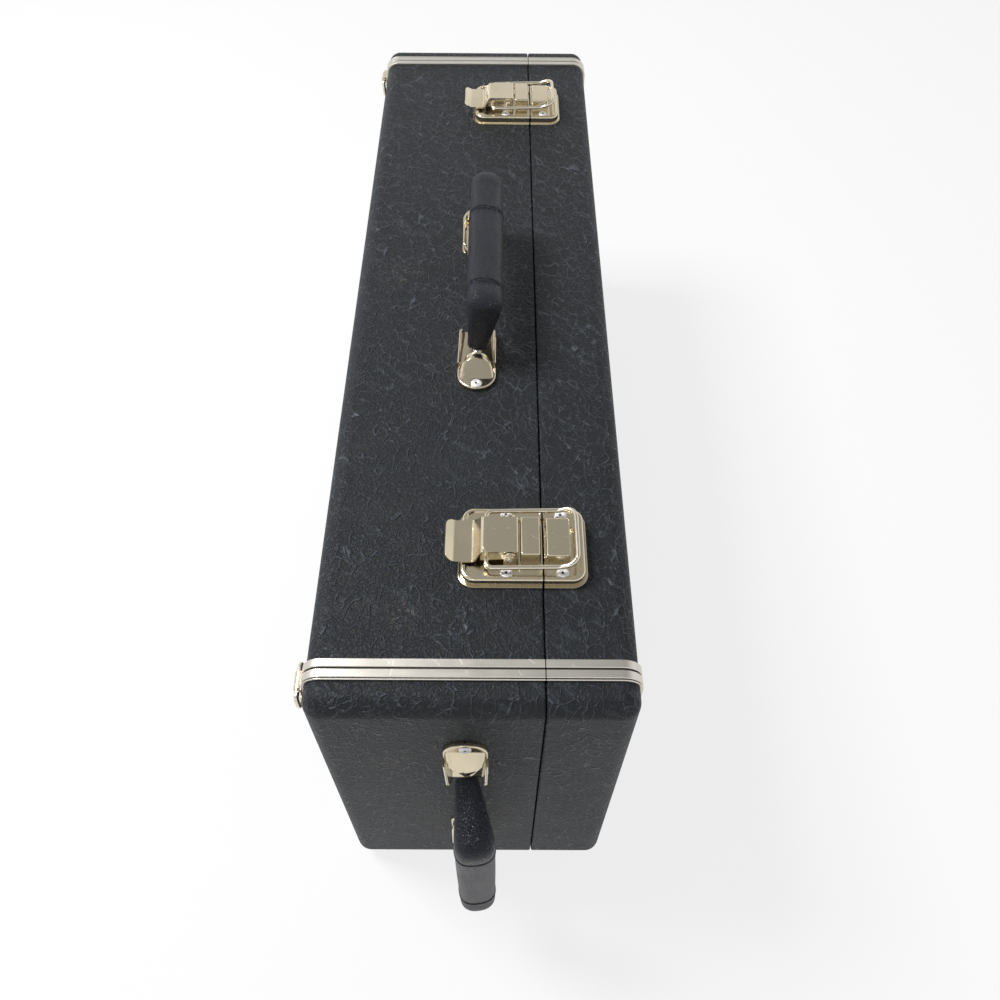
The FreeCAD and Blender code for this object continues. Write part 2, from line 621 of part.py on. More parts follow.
for end, middle in LATCHES:
    prefix = "latch_%s_" % end
    seat = (PARTING, middle, TOP)
    base_plate = place(latch_base(prefix + "b"), *seat)
    piece(prefix + "base_plate", cut(prefix + "base_plate", base_plate,
                                     group(prefix + "base_holes", base_latch_holes)))
    keeper = place(latch_keeper(prefix + "k"), *seat)
    piece(prefix + "keeper", cut(prefix + "keeper", keeper, group(prefix + "lid_holes", lid_latch_holes)))
    piece(prefix + "lever", place(latch_lever(prefix + "l"), *seat))
    pin_half = "(lever_half + ear_gap + 2 * ear_thick)"
    pin = rod(prefix + "pin", "lever_pin", "2 * " + pin_half, less(PARTING, "lever_pivot_x"),
              less(middle, pin_half), more(TOP, "lever_pivot_z"), "y")
    piece(prefix + "lever_pin", pin)
    piece(prefix + "bail", place(shaped(prefix + "bail", latch_bail()), *seat))


# Handles, in their own frame: x across, y along the handle, z out of the case.
def shoe(name, sign):
    # sign is the end of the handle that the shoe holds; the profile is drawn for the +y end and mirrored
    def along(text):
        return "(%s%s)" % (sign, text)

    body = doc.addObject("PartDesign::Body", name + "_hood")
    profile = outline(body, name + "_side",
                      ((along("shoe_reach"), "seat_gap"), (along("shoe_reach"), "hood_ledge"),
                       (along(LEDGE_END), "hood_ledge"), (along(RAMP_END), "shoe_hood_top"),
                       (along(HOOD_MOUTH), "shoe_hood_top"), (along(HOOD_MOUTH), "seat_gap")),
                      "YZ_Plane")
    side = pad(body, profile, "2 * shoe_half", True)
    outer = "y+" if sign == "" else "y-"
    plan = rounded(body, side, "shoe_corner", (("z", (outer,)),))
    rounded(body, plan, "shoe_top_round", (("y", ("z+",)),))
    reach = (along(LEDGE_END), along(SHOE_INNER))
    if sign == "-":
        y_floor, y_wall = reach, (less(along(HOOD_MOUTH), "shoe_wall_lap"), along(SHOE_INNER))
    else:
        y_floor, y_wall = reach[::-1], (along(SHOE_INNER), more(along(HOOD_MOUTH), "shoe_wall_lap"))
    inner = "y-" if sign == "" else "y+"
    floor = block(name + "_floor", ("-shoe_half", "shoe_half"), y_floor, ("seat_gap", "shoe_plate"),
                  (("(shoe_corner / 2)", (("z", (inner,)),)),))
    walls = []
    for word, x in (("left", ("-shoe_half", "-(shoe_half - shoe_wall)")),
                    ("right", ("(shoe_half - shoe_wall)", "shoe_half"))):
        walls.append(block(name + "_" + word, x, y_wall, ("seat_gap", "shoe_wall_top"),
                           (("shoe_wall_top / 2", (("x", (inner, "z+")),)),)))
    trim = block(name + "_trim", ("-shoe_half", "shoe_half"), y_wall, ("seat_gap", "shoe_wall_top"),
                 (("(shoe_corner / 2)", (("z", (inner,)),)),))
    sides = common(name + "_sides", fuse(name + "_walls", walls), trim)
    blank = fuse(name + "_blank", (body, floor, sides))
    deep, shallow = more(CORE_TIP, "core_end_play"), less(HOOD_MOUTH, "core_radius")
    start = along(deep) if sign == "-" else shallow
    bore = rod(name + "_bore", "(core_radius + pin_clearance)", less(deep, shallow), "0", start,
               "core_level", "y")
    return cut(name + "_bored", blank, bore)


# a handle at rest leans a little to the lid's side, about the axis of its round ends
LEAN = Placement(Vector(0, 0, 0), Rotation(AXES["y"], size("handle_lean")), Vector(0, 0, size("core_level")))


def handle_path(levels):
    tip, leg, low, high = levels
    half = [Vector(0, leg, high), Vector(0, leg, low), Vector(0, tip, low)]
    path = [Vector(0, -point.y, point.z) for point in reversed(half)] + half
    return [LEAN.multVec(point) for point in path]


def core_shape():
    reach = size("shoe_reach")
    tip = reach - size("hood_ledge_end") - size("hood_ramp_end") + size("core_tip")
    levels = (tip, reach - size("core_leg"), size("core_level"), size("grip_centre"))
    bend = size("core_bend")
    return tube(round_wire(handle_path(levels), [0, bend, bend, bend, bend, 0]), size("core_radius"))


# The grip's stations up one leg and round its corner. Each has its share of the corner's reach, its share
# of the leg's height, its heading in degrees from +Y, and the shares of the full width and depth it has.
GRIP_STATIONS = (
    (0, 0, 90, 0, 0),
    (0, 0.35, 90, 0.2, 0.15),
    (0.02, 0.68, 84, 0.5, 0.35),
    (0.12, 0.94, 45, 0.95, 1.2),
    (0.5, 1, 7, 1, 1),
)


def grip_sections():
    # centre (y, z), heading, width across x and depth; from one leg round to the other
    leg = size("shoe_reach") - size("core_leg")
    low, top = size("grip_leg_low"), size("grip_centre")
    wide, deep = size("grip_width"), size("grip_depth")
    leg_wide, leg_deep = size("grip_leg_width"), size("grip_leg_depth")
    half = [(leg - along * size("grip_corner"), low + up * (top - low), turn,
             leg_wide + width * (wide - leg_wide), leg_deep + depth * (deep - leg_deep))
            for along, up, turn, width, depth in GRIP_STATIONS]
    half.append((size("grip_seam"), top, 2, wide, deep))
    near = [(-y, z, turn, width, depth) for y, z, turn, width, depth in half]
    far = [(y, z, -turn, width, depth) for y, z, turn, width, depth in reversed(half)]
    crown = size("grip_crown")
    return near + [(0, top + crown / 2, 0, wide + 2 * crown, deep + crown)] + far


def grip_shape():
    wires = []
    across = AXES["x"]
    for y, z, turn, width, depth in grip_sections():
        angle = math.radians(turn)
        outward = Vector(0, -math.sin(angle), math.cos(angle))
        centre = Vector(0, y, z)
        major, minor = width / 2, depth / 2
        ends = [centre + across * major, centre + outward * minor]
        if minor > major:
            ends.reverse()
        oval = Part.Ellipse(*[LEAN.multVec(point) for point in (*ends, centre)])
        wires.append(Part.Wire(oval.toShape()))
    return Part.makeLoft(wires, True, False)


def handle(prefix, seat, turn, holes):
    for word, sign in (("near_shoe" if turn is None else "lower_shoe", "-"),
                       ("far_shoe" if turn is None else "upper_shoe", "")):
        node = prefix + word
        blank = place(shoe(node, sign), *seat, rotation=turn)
        piece(node, cut(node, blank, group(node + "_holes", holes)))
    core = core_shape()
    piece(prefix + "core", place(shaped(prefix + "core", core), *seat, rotation=turn))
    grip = grip_shape().cut(core)
    piece(prefix + "grip", place(shaped(prefix + "grip", grip), *seat, rotation=turn))


handle("main_handle_", ("handle_x", "handle_y", TOP), None, top_shoe_holes)
handle("end_handle_", ("end_handle_x", NEAR, END_HANDLE_Z),
       Rotation(Vector(1, 0, 0), 90), end_shoe_holes)


# Strap rings: a D of round wire hanging in a riveted clip, one on each band.
def ring_shape():
    half, fall, wire = size("ring_half"), size("ring_fall"), size("ring_wire")
    bar, bow = size("ring_bar_bend"), size("ring_bow_bend")
    points = [Vector(0, -half, 0), Vector(0, half, 0), Vector(0, half, -fall), Vector(0, -half, -fall)]
    return tube(round_wire(points, [bar, bar, bow, bow], True), wire)


RING_X = less(BASE_FACE, "(band_rib + seat_gap + ring_stand)")
for end, middle in BAND_MIDS:
    ring = shaped("strap_ring_" + end, ring_shape())
    piece("strap_ring_" + end, place(ring, RING_X, middle, less(TOP, "ring_drop")))
    name = "strap_clip_" + end
    face = less(BASE_FACE, "(band_rib + seat_gap)")
    y = (less(middle, "clip_half"), more(middle, "clip_half"))
    flat = block(name + "_flat", (less(face, "clip_plate"), face), y,
                 (less(TOP, "(ring_drop + clip_fall)"), less(TOP, "(ring_drop - clip_barrel)")),
                 (("(clip_half / 2)", (("x", ("z-",)),)),))
    barrel = rod(name + "_barrel", "clip_barrel", "2 * clip_barrel_half", RING_X,
                 less(middle, "clip_barrel_half"), less(TOP, "ring_drop"), "y")
    bridge = box(name + "_bridge", (RING_X, face), (less(middle, "clip_barrel_half"),
                                                  more(middle, "clip_barrel_half")),
                 (more(less(TOP, "ring_drop"), "(ring_wire + ring_fit + bridge_gap)"),
                  more(less(TOP, "ring_drop"), "clip_barrel")))
    blank = fuse(name + "_blank", (flat, barrel, bridge))
    bore = rod(name + "_bore", "(ring_wire + ring_fit)", "4 * clip_barrel_half", RING_X,
               less(middle, "2 * clip_barrel_half"), less(TOP, "ring_drop"), "y")
    piece(name, cut(name, cut(name + "_bored", blank, bore), back_holes))


# Hinges under the case: three base knuckles and two lid knuckles on one pin.
AXIS_Z = less(LOW, "hinge_drop")
KNUCKLES = 5


def leaf(name, middle, side, numbers, holes):
    sign = "-" if side == "base" else "+"
    step = "(hinge_leaf / %d)" % KNUCKLES
    start = less(middle, "hinge_leaf / 2")
    if side == "base":
        x_plate = (less(PARTING, "hinge_reach"), less(PARTING, "hinge_clear"))
        x_bridge = (less(PARTING, "(hinge_clear + overrun)"), PARTING)
    else:
        x_plate = (more(PARTING, "hinge_clear"), more(PARTING, "hinge_reach"))
        x_bridge = (PARTING, more(PARTING, "(hinge_clear + overrun)"))
    outer = "x" + sign
    flat = block(name + "_flat", x_plate, (start, more(start, "hinge_leaf")),
                 (less(LOW, "hinge_plate"), less(LOW, "seat_gap")), (("hinge_corner", (("z", (outer,)),)),))
    parts = [flat]
    for number in numbers:
        low = more(start, "%d * %s + knuckle_gap / 2" % (number, step))
        high = more(start, "%d * %s - knuckle_gap / 2" % (number + 1, step))
        parts.append(rod("%s_knuckle_%d" % (name, number), "hinge_barrel", "%s - knuckle_gap" % step,
                         PARTING, low, AXIS_Z, "y"))
        parts.append(box("%s_bridge_%d" % (name, number), x_bridge, (low, high),
                         (more(AXIS_Z, "(hinge_pin + bridge_gap)"), less(LOW, "2 * seat_gap"))))
    bore = rod(name + "_bore", "(hinge_pin + pin_clearance)", "(hinge_leaf + 2 * overrun)", PARTING,
               less(start, "overrun"), AXIS_Z, "y")
    gap_trim = box(name + "_trim", (PARTING, LID_RIM) if side == "base" else (BASE_RIM, PARTING),
                   (start, more(start, "hinge_leaf")), (less(LOW, "2 * seat_gap"), more(LOW, "overrun")))
    blank = cut(name + "_open", fuse(name + "_blank", parts), gap_trim)
    return cut(name + "_leaf", cut(name + "_bored", blank, bore), group(name + "_holes", holes))


for end, middle in HINGES:
    node = "hinge_%s_" % end
    piece(node + "base_leaf", leaf(node + "base", middle, "base", (0, 2, 4), base_hinge_holes))
    piece(node + "lid_leaf", leaf(node + "lid", middle, "lid", (1, 3), lid_hinge_holes))
    piece(node + "pin", rod(node + "pin", "hinge_pin", "hinge_leaf + overrun", PARTING,
                            less(middle, "(hinge_leaf + overrun) / 2"), AXIS_Z, "y"))


# Lining: a floor pad, four wall pads as one group, and a tray-shaped lid lining.
FLOOR = more(BASE_FACE, WALL)
PAD_FACE = more(BASE_FACE, "(covering + panel + floor_pad)")
PAD_Y = margins(NEAR, FAR, more(WALL, "pad_gap"))
PAD_Z = margins(LOW, TOP, more(WALL, "pad_gap"))
IN_Y = margins(NEAR, FAR, more(LINED, "pad_gap"))
IN_Z = margins(LOW, TOP, more(LINED, "pad_gap"))
PAD_RIM = less(BASE_RIM, "pad_rim")

piece("base_floor_pad", box("base_floor_pad", (more(FLOOR, "seat_gap"), PAD_FACE), PAD_Y, PAD_Z))
wall_x = (more(PAD_FACE, "seat_gap"), PAD_RIM)
wall_boxes = (
    box("wall_pad_top", wall_x, PAD_Y, (more(IN_Z[1], "seat_gap"), PAD_Z[1])),
    box("wall_pad_low", wall_x, PAD_Y, (PAD_Z[0], less(IN_Z[0], "seat_gap"))),
    box("wall_pad_near", wall_x, (PAD_Y[0], less(IN_Y[0], "seat_gap")), IN_Z),
    box("wall_pad_far", wall_x, (more(IN_Y[1], "seat_gap"), PAD_Y[1]), IN_Z),
)
piece("base_wall_lining", group("base_wall_lining", wall_boxes))

LID_IN = less(LID_FACE, WALL)
tray = block("lid_tray", (more(LID_RIM, "pad_rim"), less(LID_IN, "seat_gap")), PAD_Y, PAD_Z)
tray_hollow = block("lid_tray_hollow", (less(LID_RIM, "pad_rim"), less(LID_IN, "lid_pad")), IN_Y, IN_Z,
                    (("rest_round", (("y", ("x+",)), ("z", ("x+",)), ("x", ()))),))
piece("lid_lining", cut("lid_lining", tray, tray_hollow))


# Rests that cradle the instrument: a padded bar across the case with a channel for each tube.
def rest(node, near, far, channels):
    bar = block(node + "_bar", (more(PAD_FACE, "seat_gap"), "rest_top"), (near, far), IN_Z,
                (("rest_round", (("z", ("x+",)),)),))
    tools = []
    for number, (level, radius) in enumerate(channels):
        name = "%s_channel_%d" % (node, number)
        z = more(LOW, level)
        tools.append(rod(name + "_round", radius, "case_length", "tube_x", NEAR, z, "y"))
        tools.append(box(name + "_mouth", ("tube_x", LID_FACE), (NEAR, FAR),
                         (less(z, radius), more(z, radius))))
    return piece(node, cut(node, bar, fuse(node + "_channels", tools)))


rest("bell_rest", "-bell_rest_near", "-bell_rest_far",
     (("bell_axis_z", "bell_tube"), ("pipe_axis_z", "pipe_tube")))
rest("valve_rest", "valve_rest_near", "valve_rest_far",
     (("bell_axis_z", "bell_bow"), ("pipe_axis_z", "pipe_tube")))

# Accessory box with a lid that turns on a pin along its lower edge, and the mouthpiece rest above it.
BOX_Y = ("box_near", less(IN_Y[1], "seat_gap"))
BOX_Z = (more(IN_Z[0], "seat_gap"), more(IN_Z[0], "box_height"))
BOX_X = (more(PAD_FACE, "seat_gap"), "box_top")
carcass = block("box_carcass", BOX_X, BOX_Y, BOX_Z)
cavity = box("box_cavity", (more(BOX_X[0], "box_wall"), "(box_top + overrun)"), margins(*BOX_Y, "box_wall"),
             margins(*BOX_Z, "box_wall"))
PIN_X = "(box_top - box_lid / 2)"
PIN_Z = more(BOX_Z[0], "(box_wall + box_lid_gap + box_lid / 2)")
pin_bore = rod("box_pin_bore", "(box_pin + rivet_fit)", "(%s - (%s) - box_wall)" % (BOX_Y[1], BOX_Y[0]),
               PIN_X, more(BOX_Y[0], "box_wall / 2"), PIN_Z, "y")
piece("accessory_box", cut("accessory_box", cut("box_open", carcass, cavity), pin_bore))
LID_Y = margins(*BOX_Y, "(box_wall + box_lid_gap)")
LID_Z = margins(*BOX_Z, "(box_wall + box_lid_gap)")
door = block("box_door", ("(box_top - box_lid)", "box_top"), LID_Y, LID_Z,
             (("(box_lid / 2 - seat_gap)", (("y", ("z-",)),)),))
door_bore = rod("box_door_bore", "(box_pin + pin_clearance)", "case_length", PIN_X, "0", PIN_Z, "y")
piece("accessory_lid", cut("accessory_lid", door, door_bore))
piece("accessory_lid_pin", rod("accessory_lid_pin", "box_pin",
                               "(%s - (%s) - 2 * (box_wall - box_pin_seat))" % (BOX_Y[1], BOX_Y[0]), PIN_X,
                               more(BOX_Y[0], "(box_wall - box_pin_seat)"), PIN_Z, "y"))

MOUTH_Z = (more(BOX_Z[1], "box_gap"), more(BOX_Z[1], "(box_gap + mouth_height)"))
holder = block("mouth_block", (BOX_X[0], "mouth_top"), ("mouth_near", BOX_Y[1]), MOUTH_Z,
               (("rest_round", (("z", ("x+",)), ("y", ("x+",)))),))
wells = [rod("mouth_well_%d" % n, "mouth_bore", "(mouth_depth + overrun)", "(mouth_top - mouth_depth)",
             "(mouth_near + mouth_first + %d * mouth_step)" % n, more(MOUTH_Z[0], "mouth_level"), "x")
         for n in range(2)]
piece("mouthpiece_rest", cut("mouthpiece_rest", holder, fuse("mouth_wells", wells)))


doc.recompute()

for obj in doc.Objects:
    if "Invalid" in obj.State or "Error" in obj.State:
        raise RuntimeError("%s (%s) failed: %s" % (obj.Name, obj.Label, obj.State))
for node, obj in pieces.items():
    if obj.Shape.isNull() or not obj.Shape.isValid() or not obj.Shape.Solids:
        raise RuntimeError("%s has no valid solid" % node)

os.makedirs("parts", exist_ok=True)
for node, obj in pieces.items():
    obj.Shape.exportStep("parts/%s.step" % node)
    bounds = obj.Shape.BoundBox
    print("%-24s %2d solids %10.1f mm3  x %7.1f %7.1f  y %7.1f %7.1f  z %7.1f %7.1f" % (
        node, len(obj.Shape.Solids), obj.Shape.Volume, bounds.XMin, bounds.XMax, bounds.YMin, bounds.YMax,
        bounds.ZMin, bounds.ZMax))
print(len(pieces), "nodes")
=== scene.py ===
"""Looks of a hard trumpet case: covering, bands, latches, handles, small fittings and plush inside.

Every piece is placed by the fixed frame, in metres, with +Z up to the handle side, +Y along the case
and +X through its thickness towards the lid.
"""

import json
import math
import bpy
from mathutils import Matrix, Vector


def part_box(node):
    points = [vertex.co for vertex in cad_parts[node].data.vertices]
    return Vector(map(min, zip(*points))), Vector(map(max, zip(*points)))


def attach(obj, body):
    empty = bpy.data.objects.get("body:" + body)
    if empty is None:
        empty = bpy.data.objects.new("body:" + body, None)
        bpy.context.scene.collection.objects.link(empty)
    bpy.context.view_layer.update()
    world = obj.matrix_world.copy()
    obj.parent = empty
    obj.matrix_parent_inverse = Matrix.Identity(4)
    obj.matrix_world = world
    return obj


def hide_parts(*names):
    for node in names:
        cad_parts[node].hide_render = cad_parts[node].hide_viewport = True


bl_info = {
    "name": "Trumpet Case",
    "version": (1, 0, 0),
    "blender": (4, 5, 0),
    "location": "View3D > Sidebar > Case",
    "description": "Models the covering, metalwork, handles and lining of a trumpet case",
    "category": "Object",
}

import bmesh
import bpy
from mathutils import Matrix, Vector

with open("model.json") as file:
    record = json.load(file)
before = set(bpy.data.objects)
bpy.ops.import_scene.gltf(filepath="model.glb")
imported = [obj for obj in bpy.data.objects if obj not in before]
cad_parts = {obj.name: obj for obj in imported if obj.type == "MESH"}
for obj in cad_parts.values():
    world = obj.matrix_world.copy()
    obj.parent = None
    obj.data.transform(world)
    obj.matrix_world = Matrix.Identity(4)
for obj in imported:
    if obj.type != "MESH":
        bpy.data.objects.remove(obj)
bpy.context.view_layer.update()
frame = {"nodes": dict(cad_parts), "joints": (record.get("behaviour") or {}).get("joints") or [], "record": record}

MM = 0.001
BASE_LOW, BASE_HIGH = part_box("base_covering")
LID_LOW, LID_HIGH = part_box("lid_covering")
TOP, LOW = BASE_HIGH.z, BASE_LOW.z
PARTING = (BASE_HIGH.x + LID_LOW.x) / 2
ENDS = ("near", "far")
JOINTS = {joint["name"]: joint for joint in frame["joints"]}


def length(name, description, millimetres):
    """A size that a user may change, given in millimetres and kept in metres."""
    return bpy.props.FloatProperty(name=name, description=description, default=millimetres * MM,
                                   unit="LENGTH", precision=5)


def colour(name, description, red, green, blue):
    """A colour that a user may change, in linear values."""
    return bpy.props.FloatVectorProperty(name=name, description=description, default=(red, green, blue),
                                         subtype="COLOR", min=0, max=1)


# Sizes and colours

class CaseColours(bpy.types.PropertyGroup):
    """Colours of the finishes."""

    vinyl: colour("Vinyl", "Colour of the covering", 0.0115, 0.0135, 0.0165)
    grip: colour("Grip", "Colour of the moulded grips", 0.010, 0.012, 0.020)
    band: colour("Band", "Colour of the end bands", 0.66, 0.63, 0.57)
    latch: colour("Latch", "Colour of the plated latches and shoes", 0.70, 0.62, 0.46)
    wire: colour("Wire", "Colour of the latch wires and strap rings", 0.72, 0.66, 0.54)
    rivet: colour("Rivet", "Colour of the rivets", 0.86, 0.86, 0.87)
    steel: colour("Steel", "Colour of the rods and pins", 0.52, 0.52, 0.53)
    wood: colour("Wood", "Colour of the plywood", 0.50, 0.34, 0.19)
    rubber: colour("Rubber", "Colour of the glides", 0.020, 0.020, 0.021)
    plush: colour("Plush", "Colour of the lining", 0.20, 0.018, 0.035)
    brass: colour("Brass", "Colour of the accessory lid's pin", 0.72, 0.53, 0.24)


class CoveringSizes(bpy.types.PropertyGroup):
    """Sizes of the vinyl covering."""

    edge: length("Edge", "Radius of the outer edges", 9)
    rim: length("Rim", "Width of the rim that the covering turns over", 5.8)
    rim_edge: length("Rim edge", "Radius of the rim's outer edge", 1.1)
    turn_in: length("Turn in", "How far the covering runs back inside", 9)
    thick: length("Thickness", "Thickness of the covering", 0.7)
    proud: length("Proud", "How far the rims swell into the gap between the halves", 0.5)


class BandSizes(bpy.types.PropertyGroup):
    """Sizes of the metal bands, across the strip from its outer edge."""

    base: length("Base", "Height of the flat strip", 0.8)
    rib: length("Rib", "Height of the ribs and the lip", 1.5)
    rib_width: length("Rib width", "Width of a rib", 4.2)
    groove: length("Groove", "Width of the groove between the ribs", 0.9)
    lip: length("Lip", "Width of the outer lip", 0.8)
    seat: length("Seat", "Gap under the strip", 0.06)
    ease: length("Ease", "Radius of the ribs' edges", 0.32)


class LatchSizes(bpy.types.PropertyGroup):
    """Sizes of the draw latches, from the parting line, the latch's middle and the covering."""

    plate: length("Plate", "Thickness of the plates' flange", 1.2)
    corner: length("Corner", "Radius of the plates' corners", 8)
    border: length("Border", "Width of the flange round the raised pan", 1.3)
    seat: length("Seat", "Height of the raised rim", 6.2)
    roll: length("Roll", "Radius of the pan's rolled edge", 1.5)
    dish: length("Dish", "Depth of the pan's sunk middle", 0.95)
    block_half: length("Block half", "Half length of the hood and the keeper", 11)
    block_round: length("Block round", "Radius of the blocks' edges", 0.9)
    hood_near: length("Hood near", "Start of the hood", 1.6)
    hood_far: length("Hood far", "End of the hood", 11.1)
    hood_top: length("Hood top", "Top of the hood", 13.4)
    keeper_near: length("Keeper near", "Start of the keeper", 1.3)
    keeper_far: length("Keeper far", "End of the keeper", 13.1)
    keeper_top: length("Keeper top", "Top of the keeper", 12.2)
    pivot_x: length("Pivot place", "Place of the lever's pin", 16.1)
    pivot_z: length("Pivot height", "Height of the lever's pin", 10.4)
    ear: length("Ear", "Radius of the pivot ears", 3.6)
    lever_half: length("Lever half", "Half width of the lever's cover", 10.2)
    lever_top: length("Lever top", "Top of the lever's cover", 14)
    lever_end: length("Lever end", "End of the lever beside the hood", 12)
    lever_back: length("Lever back", "Start of the step to the tab", 29.7)
    lever_skirt: length("Lever skirt", "Lower edge of the side flanges", 6.2)
    sheet: length("Sheet", "Thickness of the lever", 1)
    tab_half: length("Tab half", "Half width of the finger tab", 12)
    tab_level: length("Tab level", "Height of the flat tab", 8)
    tab_near: length("Tab near", "Start of the tab", 34)
    tab_far: length("Tab far", "Place where the tip turns up", 43)
    tab_tip: length("Tab tip", "End of the tab", 47.4)
    tab_rise: length("Tab rise", "Rise of the tip", 2.7)
    wire: length("Wire", "Radius of the latch wire", 1.2)
    wire_half: length("Wire half", "Half width of the wire loop", 16.4)
    wire_hook: length("Wire hook", "Where the wire's hooked ends stop", 8.2)
    wire_pivot_x: length("Wire pivot place", "Place of the wire's hooks", 27.6)
    wire_pivot_z: length("Wire pivot height", "Height of the wire's hooks", 9.6)
    wire_level: length("Wire level", "Height of the sides where they turn up", 10.6)
    wire_knee: length("Wire knee", "Place where the sides turn up", 8)
    wire_front: length("Wire front", "Place of the front bar", 16.3)
    wire_crest: length("Wire crest", "Height of the front bar", 13.75)
    wire_bend: length("Wire bend", "Radius of the loop's corners", 6)


class HandleSizes(bpy.types.PropertyGroup):
    """Sizes of the handles, from the middle of the handle and the covering."""

    leg: length("Leg", "Distance of a leg from the middle", 53)
    foot: length("Foot", "Height where the grip starts", 8.2)
    centre: length("Centre", "Height of the grip's centre line", 38.5)
    width: length("Width", "Width of the grip", 20)
    depth: length("Depth", "Depth of the grip", 17)
    leg_width: length("Leg width", "Width of a leg at its foot", 12)
    leg_depth: length("Leg depth", "Depth of a leg at its foot", 8.5)
    seam_near: length("Near seam", "The main handle's near seam ring", -42.5)
    seam_far: length("Far seam", "The main handle's far seam ring", 21.5)
    seam_low: length("Lower seam", "The end handle's lower seam ring", -38)
    seam_high: length("Upper seam", "The end handle's upper seam ring", 43)
    seam_dip: length("Seam dip", "Depth of the groove beside a seam ring", 0.85)
    lean: bpy.props.FloatProperty(name="Lean", description="Lean of a handle at rest",
                                  default=math.radians(8), subtype="ANGLE")
    shoe_reach: length("Shoe reach", "Outer end of a shoe", 81)
    shoe_inner: length("Shoe inner", "Inner end of a shoe", 35)
    shoe_half: length("Shoe half", "Half width of a shoe", 11)
    shoe_plate: length("Shoe plate", "Thickness of a shoe's floor", 1.4)
    shoe_corner: length("Shoe corner", "Radius of a shoe's outer end", 10.5)
    wall_thick: length("Wall", "Thickness of the turned-up walls", 1.5)
    wall_top: length("Wall top", "Height of the turned-up walls", 7)
    ledge: length("Ledge", "Height of the crescent ledge", 2.8)
    ledge_end: length("Ledge end", "Where the ledge meets the hood", 74)
    ramp_end: length("Ramp end", "Where the hood's facet ends", 65.5)
    mouth: length("Mouth", "Where the hood opens for the rod", 60.2)
    hood_top: length("Hood top", "Height of the hood", 10)


class FittingSizes(bpy.types.PropertyGroup):
    """Sizes of rivets, rings and glides."""

    rivet_head: length("Rivet head", "Radius of a rivet's head", 3.1)
    rivet_dome: length("Rivet dome", "Height of a rivet's head", 1.4)
    rivet_shank: length("Rivet shank", "Radius of a rivet's shank", 1.5)
    ring_half: length("Ring half", "Half width of a strap ring", 9)
    ring_fall: length("Ring fall", "Height of a strap ring", 12)
    ring_wire: length("Ring wire", "Radius of a strap ring's wire", 1.2)
    ring_bar: length("Ring bar", "Radius of the bends at the bar", 1.8)
    ring_bow: length("Ring bow", "Radius of the bends at the bow", 5.5)


class LiningSizes(bpy.types.PropertyGroup):
    """Sizes of the plush lining."""

    edge: length("Edge", "Radius of a pad's edges", 2)
    crown: length("Crown", "Height that a pad swells in its middle", 0.9)
    voxel: length("Voxel", "Size of the grid that a padded piece is built on", 4)
    draw_in: length("Draw in", "How far a padded piece is drawn in before it swells", 1.4)
    swell: length("Swell", "Furthest that a point may swell", 3.2)
    box_wall: length("Box wall", "Thickness of the accessory box's walls", 3)


class StageSizes(bpy.types.PropertyGroup):
    """Sizes of the stage round the object."""

    floor: length("Floor", "Width of the floor", 9000)
    lamp: length("Lamp", "Width of the main lamp", 600)
    ceiling: bpy.props.FloatProperty(name="Ceiling", description="Brightness overhead, in reflections",
                                     default=0.40, min=0, max=1)
    fill: bpy.props.FloatProperty(name="Fill", description="Strength of the even light", default=0.31, min=0,
                                  max=1)


GROUPS = {"case_colours": CaseColours, "case_covering": CoveringSizes, "case_band": BandSizes,
          "case_latch": LatchSizes, "case_handle": HandleSizes, "case_fitting": FittingSizes,
          "case_lining": LiningSizes, "case_stage": StageSizes}


# Shader expressions

class Term:
    """A number or vector in a material; arithmetic on it adds the nodes."""

    def __init__(self, finish, socket):
        self.finish, self.socket = finish, socket

    def math(self, operation, *values):
        return self.finish.node("ShaderNodeMath", {"operation": operation}, *values)

    def __add__(self, other):
        return self.math("ADD", self, other)

    __radd__ = __add__

    def __sub__(self, other):
        return self.math("SUBTRACT", self, other)

    def __rsub__(self, other):
        return self.math("SUBTRACT", other, self)

    def __mul__(self, other):
        return self.math("MULTIPLY", self, other)

    __rmul__ = __mul__

    def __truediv__(self, other):
        return self.math("DIVIDE", self, other)

    def __rtruediv__(self, other):
        return self.math("DIVIDE", other, self)

    def __pow__(self, other):
        return self.math("POWER", self, other)

    def __neg__(self):
        return self.math("MULTIPLY", self, -1.0)

    def least(self, other):
        return self.math("MINIMUM", self, other)

    def most(self, other):
        return self.math("MAXIMUM", self, other)

    def between(self, low, high):
        """Runs smoothly from 0 at low to 1 at high."""
        return self.finish.node("ShaderNodeMapRange", {"interpolation_type": "SMOOTHSTEP"}, self, low, high)


